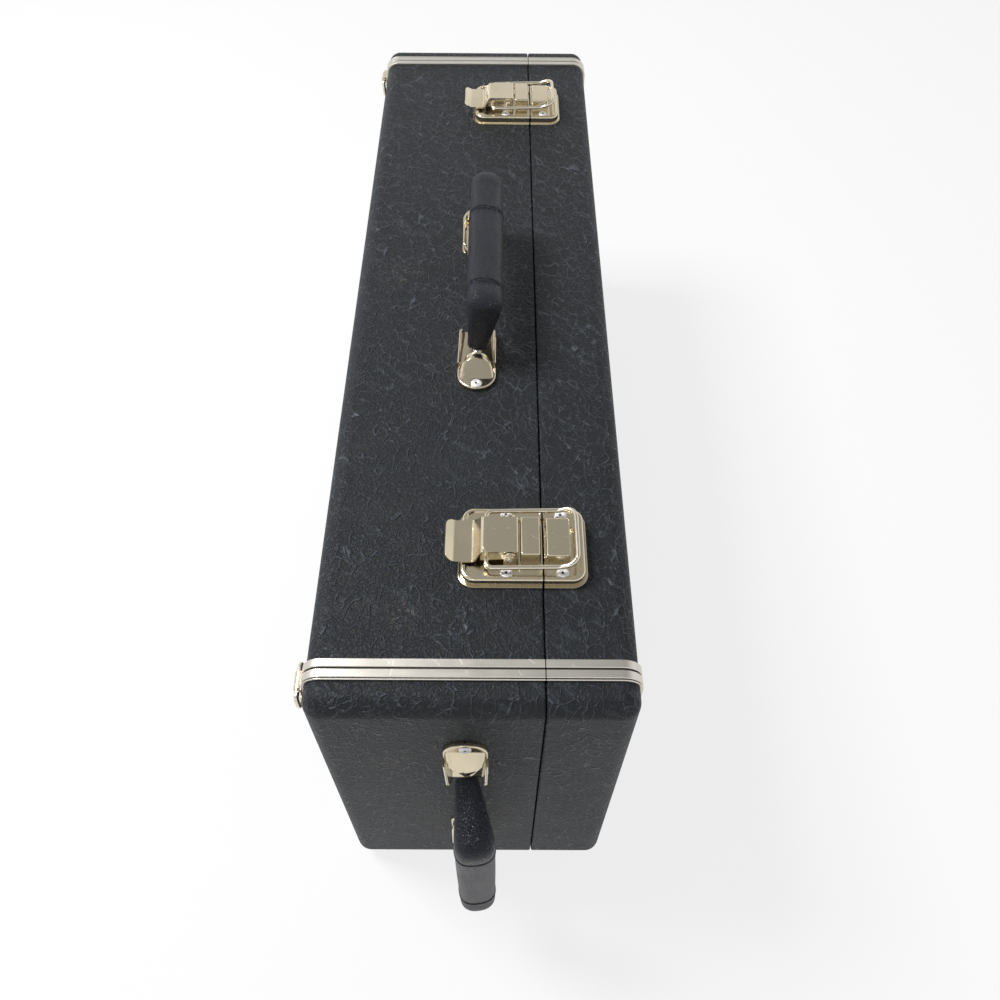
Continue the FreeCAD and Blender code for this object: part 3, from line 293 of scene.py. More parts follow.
class Finish:
    """A procedural material round one Principled shader."""

    def __init__(self, name, **uniform):
        self.material = bpy.data.materials.new(name)
        self.material.use_nodes = True
        self.nodes = self.material.node_tree.nodes
        self.links = self.material.node_tree.links
        self.shader = self.nodes["Principled BSDF"]
        for word, value in uniform.items():
            self.shader.inputs[word.replace("_", " ")].default_value = value
        self.place = self.node("ShaderNodeTexCoord", {}, out="Object")

    def node(self, kind, settings, *values, out=0, **named):
        made = self.nodes.new(kind)
        for word, setting in settings.items():
            setattr(made, word, setting)
        for where, value in [*enumerate(values), *named.items()]:
            socket = made.inputs[where.replace("_", " ") if isinstance(where, str) else where]
            if isinstance(value, Term):
                self.links.new(value.socket, socket)
            else:
                socket.default_value = value
        return Term(self, made.outputs[out])

    def feed(self, name, term):
        self.links.new(term.socket, self.shader.inputs[name])

    def mix(self, share, first, second):
        """A colour that runs from first to second by share."""
        made = self.nodes.new("ShaderNodeMix")
        made.data_type = "RGBA"
        for index, value in ((0, share), (6, first), (7, second)):
            if isinstance(value, Term):
                self.links.new(value.socket, made.inputs[index])
            else:
                made.inputs[index].default_value = value if index == 0 else (*value, 1.0)
        return Term(self, made.outputs[2])

    def stretched(self, x, y, z):
        return self.node("ShaderNodeVectorMath", {"operation": "MULTIPLY"}, self.place, (x, y, z))

    def slanted(self, degrees, scale):
        """Coordinates turned about Z and stretched, for marks that run aslant."""
        turned_place = self.node("ShaderNodeMapping", {}, Vector=self.place,
                                 Rotation=(0, 0, math.radians(degrees)))
        return self.node("ShaderNodeVectorMath", {"operation": "MULTIPLY"}, turned_place, scale)

    def noise(self, scale, detail=3.0, rough=0.55, at=None):
        return self.node("ShaderNodeTexNoise", {}, Vector=at or self.place, Scale=scale, Detail=detail,
                         Roughness=rough)

    def warped(self, scale, amount, at=None):
        """Coordinates pushed about by noise, so that a pattern loses its regularity."""
        drift = self.node("ShaderNodeTexNoise", {}, Vector=at or self.place, Scale=scale, Detail=2.0,
                          out="Color")
        centred = self.node("ShaderNodeVectorMath", {"operation": "SUBTRACT"}, drift, (0.5, 0.5, 0.5))
        pushed = self.node("ShaderNodeVectorMath", {"operation": "SCALE"}, centred, Scale=amount)
        return self.node("ShaderNodeVectorMath", {"operation": "ADD"}, at or self.place, pushed)

    def cells(self, scale, at=None, feature="F1"):
        return self.node("ShaderNodeTexVoronoi", {"feature": feature}, Vector=at or self.place, Scale=scale)

    def creases(self, scale, width, at=None):
        """Lines along the borders of irregular cells."""
        return 1.0 - self.cells(scale, at, "DISTANCE_TO_EDGE").between(0.0, width)

    def spot(self, centre, radius):
        """1 at a point of the object, falling to 0 at the radius."""
        away = self.node("ShaderNodeVectorMath", {"operation": "DISTANCE"}, self.place, centre, out="Value")
        return 1.0 - away.between(radius * 0.2, radius)

    def bump(self, height, strength, distance):
        self.feed("Normal", self.node("ShaderNodeBump", {}, Strength=strength, Distance=distance,
                                      Height=height, out="Normal"))


def shade(colours, amount):
    return tuple(channel * amount for channel in colours)


def vinyl_finish(look):
    finish = Finish("black_grained_vinyl", Specular_IOR_Level=0.26)
    warped = finish.warped(55.0, 0.010, finish.stretched(1.0, 0.8, 1.0))
    finer = finish.warped(170.0, 0.004)
    patches = finish.noise(38.0, 2.0).between(0.34, 0.56)
    broken = finish.noise(210.0, 2.0).between(0.36, 0.60)
    wide = finish.creases(150.0, 0.075, warped) * broken
    small = finish.creases(330.0, 0.10, finer) * patches * 0.55
    ridge = wide.most(small)
    pebble = finish.cells(780.0, finer, "SMOOTH_F1")
    fine = finish.noise(2600.0, 2.0)
    worn = finish.noise(9.0, 4.0, 0.65).between(0.52, 0.74)
    dust = finish.noise(900.0, 1.0).between(0.735, 0.80)
    scuffs = (finish.spot((-0.034, -0.230, TOP), 0.012) + finish.spot((-0.040, BASE_LOW.y, TOP - 0.062), 0.016)
              + finish.spot((-0.050, 0.010, TOP), 0.020)) * finish.noise(420.0, 4.0, 0.7).between(0.50, 0.66)
    # Painted highlight: the crease ridges and thin slanted streaks lighten the vinyl's colour, standing in for light
    # caught on the grain
    highlight_streaks = finish.noise(230.0, 3.0, 0.6, finish.slanted(-50, (1.0, 0.18, 1.0))).between(0.58, 0.68)
    deep = finish.mix(ridge * 0.55 + highlight_streaks * 0.16, shade(look.vinyl, 0.8), shade(look.vinyl, 7.5))
    tired = finish.mix(worn * 0.25, deep, shade(look.vinyl, 2.4))
    scuffed = finish.mix(scuffs * 0.30, tired, (0.22, 0.17, 0.14))
    finish.feed("Base Color", finish.mix(dust * 0.22, scuffed, (0.30, 0.30, 0.30)))
    finish.feed("Roughness", 0.50 - ridge * 0.12 + worn * 0.08 + pebble * 0.06)
    finish.bump(ridge * 0.9 + pebble * 0.22 + fine * 0.07 + finish.noise(26.0, 2.0) * 0.5, 0.85, 0.0013)
    return finish.material


def grip_finish(look):
    finish = Finish("black_grained_grip", Specular_IOR_Level=0.32)
    warped = finish.warped(420.0, 0.0014)
    pebble = finish.cells(1150.0, warped, "SMOOTH_F1")
    line = finish.creases(900.0, 0.16, warped)
    sheen = finish.noise(60.0, 3.0).between(0.35, 0.70)
    # Painted sheen: noise patches and the crease lines lighten the grip's colour
    finish.feed("Base Color", finish.mix(sheen * 0.4 + line * 0.15, shade(look.grip, 0.85), shade(look.grip, 1.7)))
    finish.feed("Roughness", 0.30 + pebble * 0.10 + sheen * 0.05)
    finish.bump(line * 0.7 - pebble * 0.6 + finish.noise(1900.0, 2.0) * 0.14, 0.8, 0.0010)
    return finish.material


def metal_finish(name, tone, rough, grain, wear=0.5, streak=(1.0, 0.06, 1.0), metallic=1.0):
    """Plated or anodised metal with a drawn grain, hazy patches and fine scratches."""
    finish = Finish(name, Metallic=metallic)
    lines = finish.noise(grain, 3.0, 0.6, finish.stretched(*streak))
    haze = finish.noise(38.0, 4.0, 0.6).between(0.36, 0.72)
    warped = finish.warped(30.0, 0.03)
    scratch = finish.creases(62.0, 0.010, warped) * finish.noise(150.0, 2.0).between(0.50, 0.62)
    pits = finish.noise(1400.0, 1.0).between(0.70, 0.78)
    finish.feed("Base Color", finish.mix(haze * 0.5 * wear + pits * 0.3, tone, shade(tone, 0.74)))
    finish.feed("Roughness", rough + haze * 0.11 * wear + lines * 0.07 + scratch * 0.2)
    finish.bump(lines * 0.3 - scratch * 0.5 - pits * 0.3, 0.16, 0.00025)
    return finish.material


def groove_shade_finish():
    # Painted shade: near black for the bands' grooves and the rivets' sunk middles
    finish = Finish("painted_groove_shade")
    finish.feed("Base Color", finish.mix(finish.noise(300.0), (0.008, 0.008, 0.009), (0.030, 0.030, 0.032)))
    finish.feed("Roughness", 0.5 + finish.noise(500.0) * 0.2)
    return finish.material


def wood_finish(look):
    finish = Finish("birch_plywood", Roughness=0.62)
    grain = finish.noise(420.0, 4.0, 0.6, finish.stretched(1.0, 0.05, 0.6))
    ply = finish.node("ShaderNodeTexWave", {"bands_direction": "X"}, finish.warped(25.0, 0.002), 210.0, 0.6)
    finish.feed("Base Color", finish.mix(grain * 0.6 + ply * 0.25, look.wood, shade(look.wood, 0.55)))
    finish.bump(grain, 0.25, 0.0004)
    return finish.material


def rubber_finish(look):
    finish = Finish("black_rubber")
    speck = finish.noise(900.0, 3.0)
    dusty = finish.noise(120.0, 3.0).between(0.45, 0.75)
    finish.feed("Base Color", finish.mix(dusty * 0.5, look.rubber, shade(look.rubber, 3.2)))
    finish.feed("Roughness", 0.62 + dusty * 0.15)
    finish.bump(speck, 0.3, 0.0003)
    return finish.material


def plush_finish(look):
    finish = Finish("short_pile_plush", Roughness=0.95, Sheen_Weight=0.55, Sheen_Roughness=0.4)
    finish.shader.inputs["Sheen Tint"].default_value = (0.95, 0.45, 0.50, 1.0)
    pile = finish.cells(1500.0, finish.warped(900.0, 0.0012))
    brushed = finish.noise(30.0, 4.0, 0.65, finish.stretched(1.0, 0.55, 1.0)).between(0.34, 0.66)
    tufts = finish.noise(520.0, 3.0, 0.6)
    tone = finish.mix(brushed * 0.7, shade(look.plush, 0.62), shade(look.plush, 1.35))
    finish.feed("Base Color", finish.mix(pile * 0.6, tone, shade(look.plush, 0.40)))
    finish.bump(tufts * 0.8 - pile * 0.7 + brushed * 0.5, 0.85, 0.0011)
    return finish.material


FINISHES = {}


def finishes(context):
    """The materials by the record's slot names, made once."""
    if FINISHES:
        return FINISHES
    look = context.scene.case_colours
    FINISHES.update({
        "vinyl": vinyl_finish(look),
        "grip": grip_finish(look),
        "band_metal": metal_finish("satin_band", tuple(look.band), 0.27, 900.0, 0.6, (0.05, 1.0, 0.05)),
        "latch_plate_metal": metal_finish("warm_nickel_plate", tuple(look.latch), 0.13, 700.0, 0.7),
        "wire_metal": metal_finish("bright_nickel_wire", tuple(look.wire), 0.12, 900.0),
        "rivet_metal": metal_finish("pale_rivet", tuple(look.rivet), 0.38, 1500.0, metallic=0.6),
        "steel": metal_finish("plain_steel", tuple(look.steel), 0.30, 1200.0, 0.9),
        "hinge_metal": metal_finish("nickel_hinge", shade(look.wire, 0.92), 0.22, 900.0, 0.9),
        "plywood": wood_finish(look),
        "glide": rubber_finish(look),
        "plush": plush_finish(look),
        "brass_pin": metal_finish("plain_brass", tuple(look.brass), 0.25, 1200.0),
        "groove": groove_shade_finish(),
    })
    return FINISHES


# Mesh helpers

def extent(bm):
    corners = [vert.co for vert in bm.verts]
    low = Vector([min(co[axis] for co in corners) for axis in range(3)])
    high = Vector([max(co[axis] for co in corners) for axis in range(3)])
    return low, high


def slab(low, high):
    """A new mesh that fills the box between two corners."""
    bm = bmesh.new()
    bmesh.ops.create_cube(bm, size=1.0)
    low, high = Vector(low), Vector(high)
    bmesh.ops.scale(bm, vec=high - low, verts=bm.verts)
    bmesh.ops.translate(bm, vec=(low + high) / 2, verts=bm.verts)
    return bm


def edges_on(bm, along, **sides):
    """Edges that run along an axis on the named outer sides: x=1 is the highest X and x=-1 the lowest."""
    low, high = extent(bm)
    near = 1e-6
    found = []
    for edge in bm.edges:
        run = (edge.verts[1].co - edge.verts[0].co).normalized()
        if abs(abs(run["xyz".index(along)]) - 1) > 1e-4:
            continue
        middle = (edge.verts[0].co + edge.verts[1].co) / 2
        ends = {name: (high if side > 0 else low)["xyz".index(name)] for name, side in sides.items()}
        if all(abs(middle["xyz".index(name)] - value) < near for name, value in ends.items()):
            found.append(edge)
    return found


def bevel(bm, edges, width, segments=4):
    bmesh.ops.bevel(bm, geom=edges, offset=width, offset_type="OFFSET", segments=segments, profile=0.5,
                    affect="EDGES", clamp_overlap=True, material=-1)


def round_corners(bm, corners, width, segments=6):
    bmesh.ops.bevel(bm, geom=corners, offset=width, offset_type="OFFSET", segments=segments, profile=0.5,
                    affect="VERTICES", clamp_overlap=True, material=-1)


def rim_of(bm, axis, side):
    """Faces that make up the outermost flat side of a mesh."""
    low, high = extent(bm)
    level = (high if side > 0 else low)[axis]
    return [face for face in bm.faces
            if all(abs(vert.co[axis] - level) < 1e-6 for vert in face.verts)]


def pour(bm, part):
    """Adds another mesh to this one."""
    held = bpy.data.meshes.new("held")
    part.to_mesh(held)
    part.free()
    bm.from_mesh(held)
    bpy.data.meshes.remove(held)
    return bm


def moved(bm, matrix):
    bmesh.ops.transform(bm, matrix=matrix, verts=bm.verts)
    return bm


def disc_edges(bm, radius, matrix, segments=16):
    made = bmesh.ops.create_circle(bm, cap_ends=False, radius=radius, segments=segments, matrix=matrix)
    verts = set(made["verts"])
    return [edge for edge in bm.edges if set(edge.verts) <= verts]


def drawn(bm, edges, shift):
    """Pulls an outline along and returns its new edges."""
    made = bmesh.ops.extrude_edge_only(bm, edges=edges)["geom"]
    verts = [item for item in made if isinstance(item, bmesh.types.BMVert)]
    bmesh.ops.translate(bm, vec=shift, verts=verts)
    new = set(verts)
    return [item for item in made if isinstance(item, bmesh.types.BMEdge) and set(item.verts) <= new]


def sweep(bm, edges, points, radii, steps=6):
    """Draws a closed outline, which stands at the first point, along straight runs and round their corners."""
    at = points[0]
    for index in range(1, len(points)):
        here = points[index]
        if index == len(points) - 1:
            return drawn(bm, edges, here - at)
        back = (points[index - 1] - here).normalized()
        ahead = (points[index + 1] - here).normalized()
        half = back.angle(ahead) / 2
        reach = radii[index] / math.tan(half)
        start = here + back * reach
        if (start - at).length > 1e-7:
            edges = drawn(bm, edges, start - at)
        centre = here + (back + ahead).normalized() * (radii[index] / math.sin(half))
        spun = bmesh.ops.spin(bm, geom=edges, cent=centre, axis=ahead.cross(back), dvec=(0, 0, 0),
                              angle=math.pi - 2 * half, steps=steps, use_merge=False, use_duplicate=False)
        edges = [item for item in spun["geom_last"] if isinstance(item, bmesh.types.BMEdge)]
        at = here + ahead * reach
    return edges


def tube(points, radii, radius, closed=False, segments=14, steps=6):
    """A round wire along runs and bends."""
    bm = bmesh.new()
    heading = (points[1] - points[0]).to_track_quat("Z", "Y").to_matrix().to_4x4()
    start = disc_edges(bm, radius, Matrix.Translation(points[0]) @ heading, segments)
    last = sweep(bm, start, points, radii, steps)
    if closed:
        bmesh.ops.remove_doubles(bm, verts=bm.verts, dist=1e-6)
    else:
        for loop in (start, last):
            bmesh.ops.edgeloop_fill(bm, edges=loop)
    return bm


def turned(profile, segments=28):
    """A solid of revolution about Z from pairs of a radius and a height."""
    bm = bmesh.new()
    verts = [bm.verts.new((radius, 0, height)) for radius, height in profile]
    edges = [bm.edges.new(pair) for pair in zip(verts, verts[1:])]
    bmesh.ops.spin(bm, geom=edges, cent=(0, 0, 0), axis=(0, 0, 1), dvec=(0, 0, 0), angle=2 * math.pi,
                   steps=segments, use_merge=True, use_duplicate=False)
    bmesh.ops.remove_doubles(bm, verts=bm.verts, dist=1e-7)
    return bm


def ring_at(bm, matrix, half_width, half_depth, square=2.0, floor=None, segments=28):
    """A closed outline for a loft: an ellipse, squarer as square grows, cut flat at the floor."""
    edges = disc_edges(bm, 1.0, Matrix.Identity(4), segments)
    verts = list({vert for edge in edges for vert in edge.verts})
    for vert in verts:
        x, y = [math.copysign(abs(value) ** (2 / square), value) for value in vert.co.xy]
        vert.co = (x * half_width, y * half_depth, 0)
        if floor is not None:
            vert.co.y = max(vert.co.y, floor)
    bmesh.ops.transform(bm, matrix=matrix, verts=verts)
    return edges


def lofted(rings):
    """A closed skin over outlines; each ring holds the arguments of ring_at."""
    bm = bmesh.new()
    loops = [ring_at(bm, *ring) for ring in rings]
    for first, second in zip(loops, loops[1:]):
        bmesh.ops.bridge_loops(bm, edges=first + second)
    for loop in (loops[0], loops[-1]):
        bmesh.ops.edgeloop_fill(bm, edges=loop)
    return bm


def piece(bm, name, material, body, replaces=(), seal=True, smooth=30, weighted=True):
    """Turns a finished mesh into an object that rides on a body."""
    bmesh.ops.remove_doubles(bm, verts=bm.verts, dist=1e-7)
    if seal:
        bmesh.ops.recalc_face_normals(bm, faces=bm.faces)
    mesh = bpy.data.meshes.new(name)
    bm.to_mesh(mesh)
    bm.free()
    for polygon in mesh.polygons:
        polygon.use_smooth = True
    mesh.set_sharp_from_angle(angle=math.radians(smooth))
    made = bpy.data.objects.new(name, mesh)
    bpy.context.scene.collection.objects.link(made)
    for finish in material if isinstance(material, (list, tuple)) else (material,):
        mesh.materials.append(finish)
    if weighted:
        level = made.modifiers.new("even_shading", "WEIGHTED_NORMAL")
        level.keep_sharp = True
    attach(made, body)
    if replaces:
        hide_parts(*replaces)
    return made


def thickened(made, thickness, offset=-1.0, edge=None):
    """Gives a sheet its thickness, and its edges a small radius."""
    wall = made.modifiers.new("sheet", "SOLIDIFY")
    wall.thickness, wall.offset = thickness, offset
    if edge:
        ease = made.modifiers.new("eased_edges", "BEVEL")
        ease.width, ease.segments, ease.limit_method = edge, 2, "ANGLE"
        ease.angle_limit = math.radians(40)
    if "even_shading" in made.modifiers:
        made.modifiers.move(made.modifiers.find("even_shading"), len(made.modifiers) - 1)


def solids_of(node):
    """The lowest and highest corners of each separate solid in a node."""
    bm = bmesh.new()
    bm.from_mesh(frame["nodes"][node].data)
    bmesh.ops.remove_doubles(bm, verts=bm.verts, dist=1e-6)
    left, boxes = set(bm.verts), []
    while left:
        group, queue = set(), [left.pop()]
        while queue:
            vert = queue.pop()
            group.add(vert)
            for edge in vert.link_edges:
                other = edge.other_vert(vert)
                if other in left:
                    left.discard(other)
                    queue.append(other)
        low = Vector([min(vert.co[axis] for vert in group) for axis in range(3)])
        high = Vector([max(vert.co[axis] for vert in group) for axis in range(3)])
        boxes.append((low, high))
    bm.free()
    return sorted(boxes, key=lambda pair: tuple(pair[0]))


def body_of(node):
    bodies = frame["record"]["behaviour"]["bodies"]
    return next(body for body, nodes in bodies.items() if node in nodes)


# Covering and bands

def half_shell(sizes, low, high, outer):
    """One half's covering: rounded outside, turned over the rim and a little way back inside."""
    bm = slab(low, high)
    bmesh.ops.delete(bm, geom=rim_of(bm, 0, -outer), context="FACES_ONLY")
    edges = edges_on(bm, "y", x=outer) + edges_on(bm, "z", x=outer) + edges_on(bm, "x")
    bevel(bm, edges, sizes.edge, 10)
    rim = [edge for edge in bm.edges if edge.is_boundary]
    centre = (Vector(low) + Vector(high)) / 2
    for width, run in ((sizes.rim, 0.0), (0.0, sizes.turn_in)):
        rim = drawn(bm, rim, Vector((outer * run, 0, 0)))
        verts = list({vert for edge in rim for vert in edge.verts})
        span = Vector(high) - Vector(low)
        shrink = Vector((1, 1 - 2 * width / span.y, 1 - 2 * width / span.z))
        bmesh.ops.scale(bm, vec=shrink, verts=verts, space=Matrix.Translation(-centre))
    level = (low if outer > 0 else high)[0]
    edge_loop = [edge for edge in bm.edges if not edge.is_boundary and len(edge.link_faces) == 2
                 and all(abs(vert.co.x - level) < 1e-7 for vert in edge.verts)
                 and edge.link_faces[0].normal.angle(edge.link_faces[1].normal, 0.0) > 0.5
                 and max(abs(face.normal.x) for face in edge.link_faces) > 0.5]
    outside = [edge for edge in edge_loop if is_outer(edge, low, high)]
    bevel(bm, outside, sizes.rim_edge, 4)
    return bm


def is_outer(edge, low, high):
    """Whether an edge lies on the outside wall of a box."""
    near = 1e-5
    for vert in edge.verts:
        beside = [min(vert.co[axis] - low[axis], high[axis] - vert.co[axis]) for axis in (1, 2)]
        if min(beside) > near and (beside[0] > 0.0091 or beside[1] > 0.0091):
            return False
    return True


class CASE_OT_covering(bpy.types.Operator):
    """Make the vinyl covering of both halves"""

    bl_idname = "case.covering"
    bl_label = "Covering"

    def execute(self, context):
        sizes, looks = context.scene.case_covering, finishes(context)
        swell = Vector((sizes.proud, 0, 0))
        for half, low, high, outer in (("base", BASE_LOW, BASE_HIGH + swell, -1),
                                       ("lid", LID_LOW - swell, LID_HIGH, 1)):
            bm = half_shell(sizes, low, high, outer)
            made = piece(bm, half + "_vinyl", looks["vinyl"], half, [half + "_covering"])
            thickened(made, sizes.thick)
        return {"FINISHED"}


def band_profile(sizes):
    """Points across a band from its outer edge: pairs of a distance and a height."""
    base, rib, ease, seat = sizes.base, sizes.rib, sizes.ease, sizes.seat
    points = [(0, seat), (0, rib - ease), (ease, rib), (sizes.lip - ease, rib), (sizes.lip, rib - ease),
              (sizes.lip, base * 0.5)]
    start = sizes.lip + sizes.groove / 2
    for _ in range(2):
        stop = start + sizes.rib_width
        points += [(start, base * 0.5), (start, rib - ease), (start + ease, rib), (stop - ease, rib),
                   (stop, rib - ease), (stop, base * 0.5)]
        start = stop + sizes.groove
    edge = start - sizes.groove + sizes.groove / 3
    return points + [(edge, base * 0.5), (edge, seat)]


def band_strip(sizes, radius, proud, half, end):
    outer, rim = (-1, BASE_HIGH.x + proud) if half == "base" else (1, LID_LOW.x - proud)
    wall = BASE_LOW.x if half == "base" else LID_HIGH.x
    low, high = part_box("%s_band_%s" % (half, end))
    edge, inward = (low.y, 1) if end == "near" else (high.y, -1)
    bm = bmesh.new()
    verts = [bm.verts.new((rim, edge + inward * along, TOP + proud)) for along, proud in band_profile(sizes)]
    edges = [bm.edges.new((verts[i - 1], verts[i])) for i in range(len(verts))]
    middle = edge + inward * sizes.rib_width
    points = [Vector((x, middle, z)) for x, z in ((rim, TOP), (wall, TOP), (wall, LOW), (rim, LOW))]
    last = sweep(bm, edges, points, [0, radius, radius, 0], 10)
    for loop in (edges, last):
        bmesh.ops.edgeloop_fill(bm, edges=loop)
    # The groove floors and the gap by the lip take the near-black finish: painted shade in the recesses
    floor = sizes.base * 0.5 + 1e-5
    for face in bm.faces:
        depth = [min(TOP + 1, surface_height(vert.co, wall, outer, radius)) for vert in face.verts]
        if len(face.verts) == 4 and max(depth) < floor and min(depth) > sizes.seat + 1e-5:
            face.material_index = 1
    return bm


def surface_height(point, wall, outer, radius):
    """How far a point stands off the covering of a half."""
    beyond_wall = (point.x - wall) * outer
    beyond_top = max(point.z - TOP, LOW - point.z)
    if beyond_wall > -radius and beyond_top > -radius:
        return math.hypot(beyond_wall + radius, beyond_top + radius) - radius
    return max(beyond_wall, beyond_top)


class CASE_OT_bands(bpy.types.Operator):
    """Make the ribbed metal bands round both ends"""

    bl_idname = "case.bands"
    bl_label = "Bands"

    def execute(self, context):
        sizes, looks = context.scene.case_band, finishes(context)
        covering = context.scene.case_covering
        for half in ("base", "lid"):
            for end in ENDS:
                node = "%s_band_%s" % (half, end)
                piece(band_strip(sizes, covering.edge, covering.proud, half, end), node + "_strip",
                      (looks["band_metal"], looks["groove"]), half, [node])
        return {"FINISHED"}


# Latches

def pan_mesh(sizes, low_x, high_x, half, open_side):
    """A latch plate: a flange with a raised, dished pan; the side on the parting line is square."""
    closed = -open_side
    flange = slab((low_x, -half, 0.05 * MM), (high_x, half, sizes.plate))
    bevel(flange, edges_on(flange, "z", x=closed), sizes.corner, 10)
    bevel(flange, [edge for face in rim_of(flange, 2, 1) for edge in face.edges], 0.4 * MM, 2)
    if open_side > 0:
        low_x += sizes.border
    else:
        high_x -= sizes.border
    raised = slab((low_x, -half + sizes.border, sizes.plate / 2), (high_x, half - sizes.border, sizes.seat))
    bevel(raised, edges_on(raised, "z", x=closed), sizes.corner - sizes.border, 10)
    top = rim_of(raised, 2, 1)
    roll = [edge for face in top for edge in face.edges
            if not all(abs(vert.co.x - (high_x if open_side > 0 else low_x)) < 1e-6 for vert in edge.verts)]
    bevel(raised, roll, sizes.roll, 5)
    rim = bmesh.ops.inset_region(raised, faces=rim_of(raised, 2, 1), thickness=0.9 * MM, depth=0.0)["faces"]
    middle = [face for face in rim_of(raised, 2, 1) if face not in rim]
    bmesh.ops.inset_region(raised, faces=middle, thickness=0.6 * MM, depth=-sizes.dish)
    return pour(flange, raised)


def rounded_block(low, high, radius, segments=4):
    bm = slab(low, high)
    edges = [edge for face in rim_of(bm, 2, 1) for edge in face.edges] + edges_on(bm, "z")
    bevel(bm, edges, radius, segments)
    return bm


def latch_base(sizes, low_x, high_x, half):
    bm = pan_mesh(sizes, low_x, high_x, half, 1)
    floor = sizes.seat - 1.5 * MM
    pour(bm, rounded_block((-sizes.hood_far, -sizes.block_half, floor),
                           (-sizes.hood_near, sizes.block_half, sizes.hood_top), sizes.block_round))
    for side in (-1, 1):
        inner = sizes.lever_half + 0.4 * MM
        outer = inner + 1.2 * MM
        y = sorted((side * inner, side * outer))
        ear = slab((-sizes.pivot_x - 3.2 * MM, y[0], floor),
                   (-sizes.pivot_x + 3.2 * MM, y[1], sizes.pivot_z + 3.2 * MM))
        bevel(ear, edges_on(ear, "y", z=1), 3.1 * MM, 8)
        pour(bm, ear)
        boss = turned(((0, 1.0 * MM), (1.2 * MM, 0.95 * MM), (1.9 * MM, 0.6 * MM), (2.1 * MM, 0), (0, 0)), 20)
        turn = Matrix.Rotation(-side * math.pi / 2, 4, "X")
        moved(boss, Matrix.Translation((-sizes.pivot_x, side * outer, sizes.pivot_z)) @ turn)
        pour(bm, boss)
    return bm


def latch_keeper(sizes, low_x, high_x, half):
    bm = pan_mesh(sizes, low_x, high_x, half, -1)
    floor = sizes.seat - 1.5 * MM
    pour(bm, rounded_block((sizes.keeper_near, -sizes.block_half, floor),
                           (sizes.keeper_far, sizes.block_half, sizes.keeper_top), sizes.block_round))
    pour(bm, rounded_block((sizes.keeper_near - 1.0 * MM, -sizes.block_half + 0.3 * MM, floor),
                           (sizes.keeper_near + 0.5 * MM, sizes.block_half - 4.5 * MM,
                            sizes.keeper_top - 2.6 * MM), 0.4 * MM, 2))
    return bm


def latch_lever(sizes):
    """The lever as one bent sheet: tip, tab, step, cover and front wall, with side flanges turned down."""
    bm = bmesh.new()
    run = ((-sizes.tab_tip, sizes.tab_level + sizes.tab_rise), (-sizes.tab_far, sizes.tab_level),
           (-sizes.tab_near, sizes.tab_level), (-sizes.lever_back, sizes.lever_top),
           (-sizes.lever_end, sizes.lever_top), (-sizes.lever_end, sizes.lever_skirt + 2.5 * MM))
    verts = [bm.verts.new((x, -sizes.tab_half, z)) for x, z in run]
    edges = [bm.edges.new(pair) for pair in zip(verts, verts[1:])]
    drawn(bm, edges, Vector((0, 2 * sizes.tab_half, 0)))
    low, _ = extent(bm)
    tips = [vert for vert in bm.verts if abs(vert.co.x - low.x) < 1e-6]
    round_corners(bm, tips, 4.2 * MM, 8)
    share = sizes.lever_half / sizes.tab_half
    for vert in bm.verts:
        if vert.co.x > -sizes.lever_back - 1e-6:
            vert.co.y *= share
    for (x, z), width in zip(run[1:5], (2.4, 0.9, 1.1, 1.2)):
        fold = [edge for edge in bm.edges if edge.calc_length() > sizes.lever_half
                and all(abs(vert.co.x - x) < 1e-6 and abs(vert.co.z - z) < 1e-6 for vert in edge.verts)]
        bevel(bm, fold, width * MM, 5)
    sides = [edge for edge in bm.edges if edge.is_boundary
             and all(vert.co.x > -sizes.lever_back - 1.5 * MM and vert.co.z > sizes.lever_top - 1.4 * MM
                     for vert in edge.verts) and abs(edge.verts[0].co.y - edge.verts[1].co.y) < 1 * MM]
    flange = drawn(bm, sides, Vector((0, 0, 0)))
    for vert in {vert for edge in flange for vert in edge.verts}:
        back = min(1.0, max(0.0, (-vert.co.x - sizes.lever_end) / (sizes.lever_back - sizes.lever_end)))
        wave = 0.8 * math.sin(back * 2.4 * math.pi) * back
        vert.co.z = sizes.lever_skirt + (wave + 2.6 * (1 - back) ** 3 + 1.2 * back ** 2) * MM
        vert.co.y += math.copysign((0.35 + 0.5 * back) * MM, vert.co.y)
    return bm


def latch_wire(sizes):
    side = [Vector((-sizes.wire_pivot_x, sizes.wire_hook, sizes.wire_pivot_z)),
            Vector((-sizes.wire_pivot_x, sizes.wire_half, sizes.wire_pivot_z)),
            Vector((sizes.wire_knee, sizes.wire_half, sizes.wire_level)),
            Vector((sizes.wire_front, sizes.wire_half, sizes.wire_crest))]
    points = side + [Vector((point.x, -point.y, point.z)) for point in reversed(side)]
    radii = [0, sizes.wire_bend / 2, sizes.wire_bend * 1.3, sizes.wire_bend]
    return tube(points, radii + radii[::-1], sizes.wire, segments=18, steps=8)


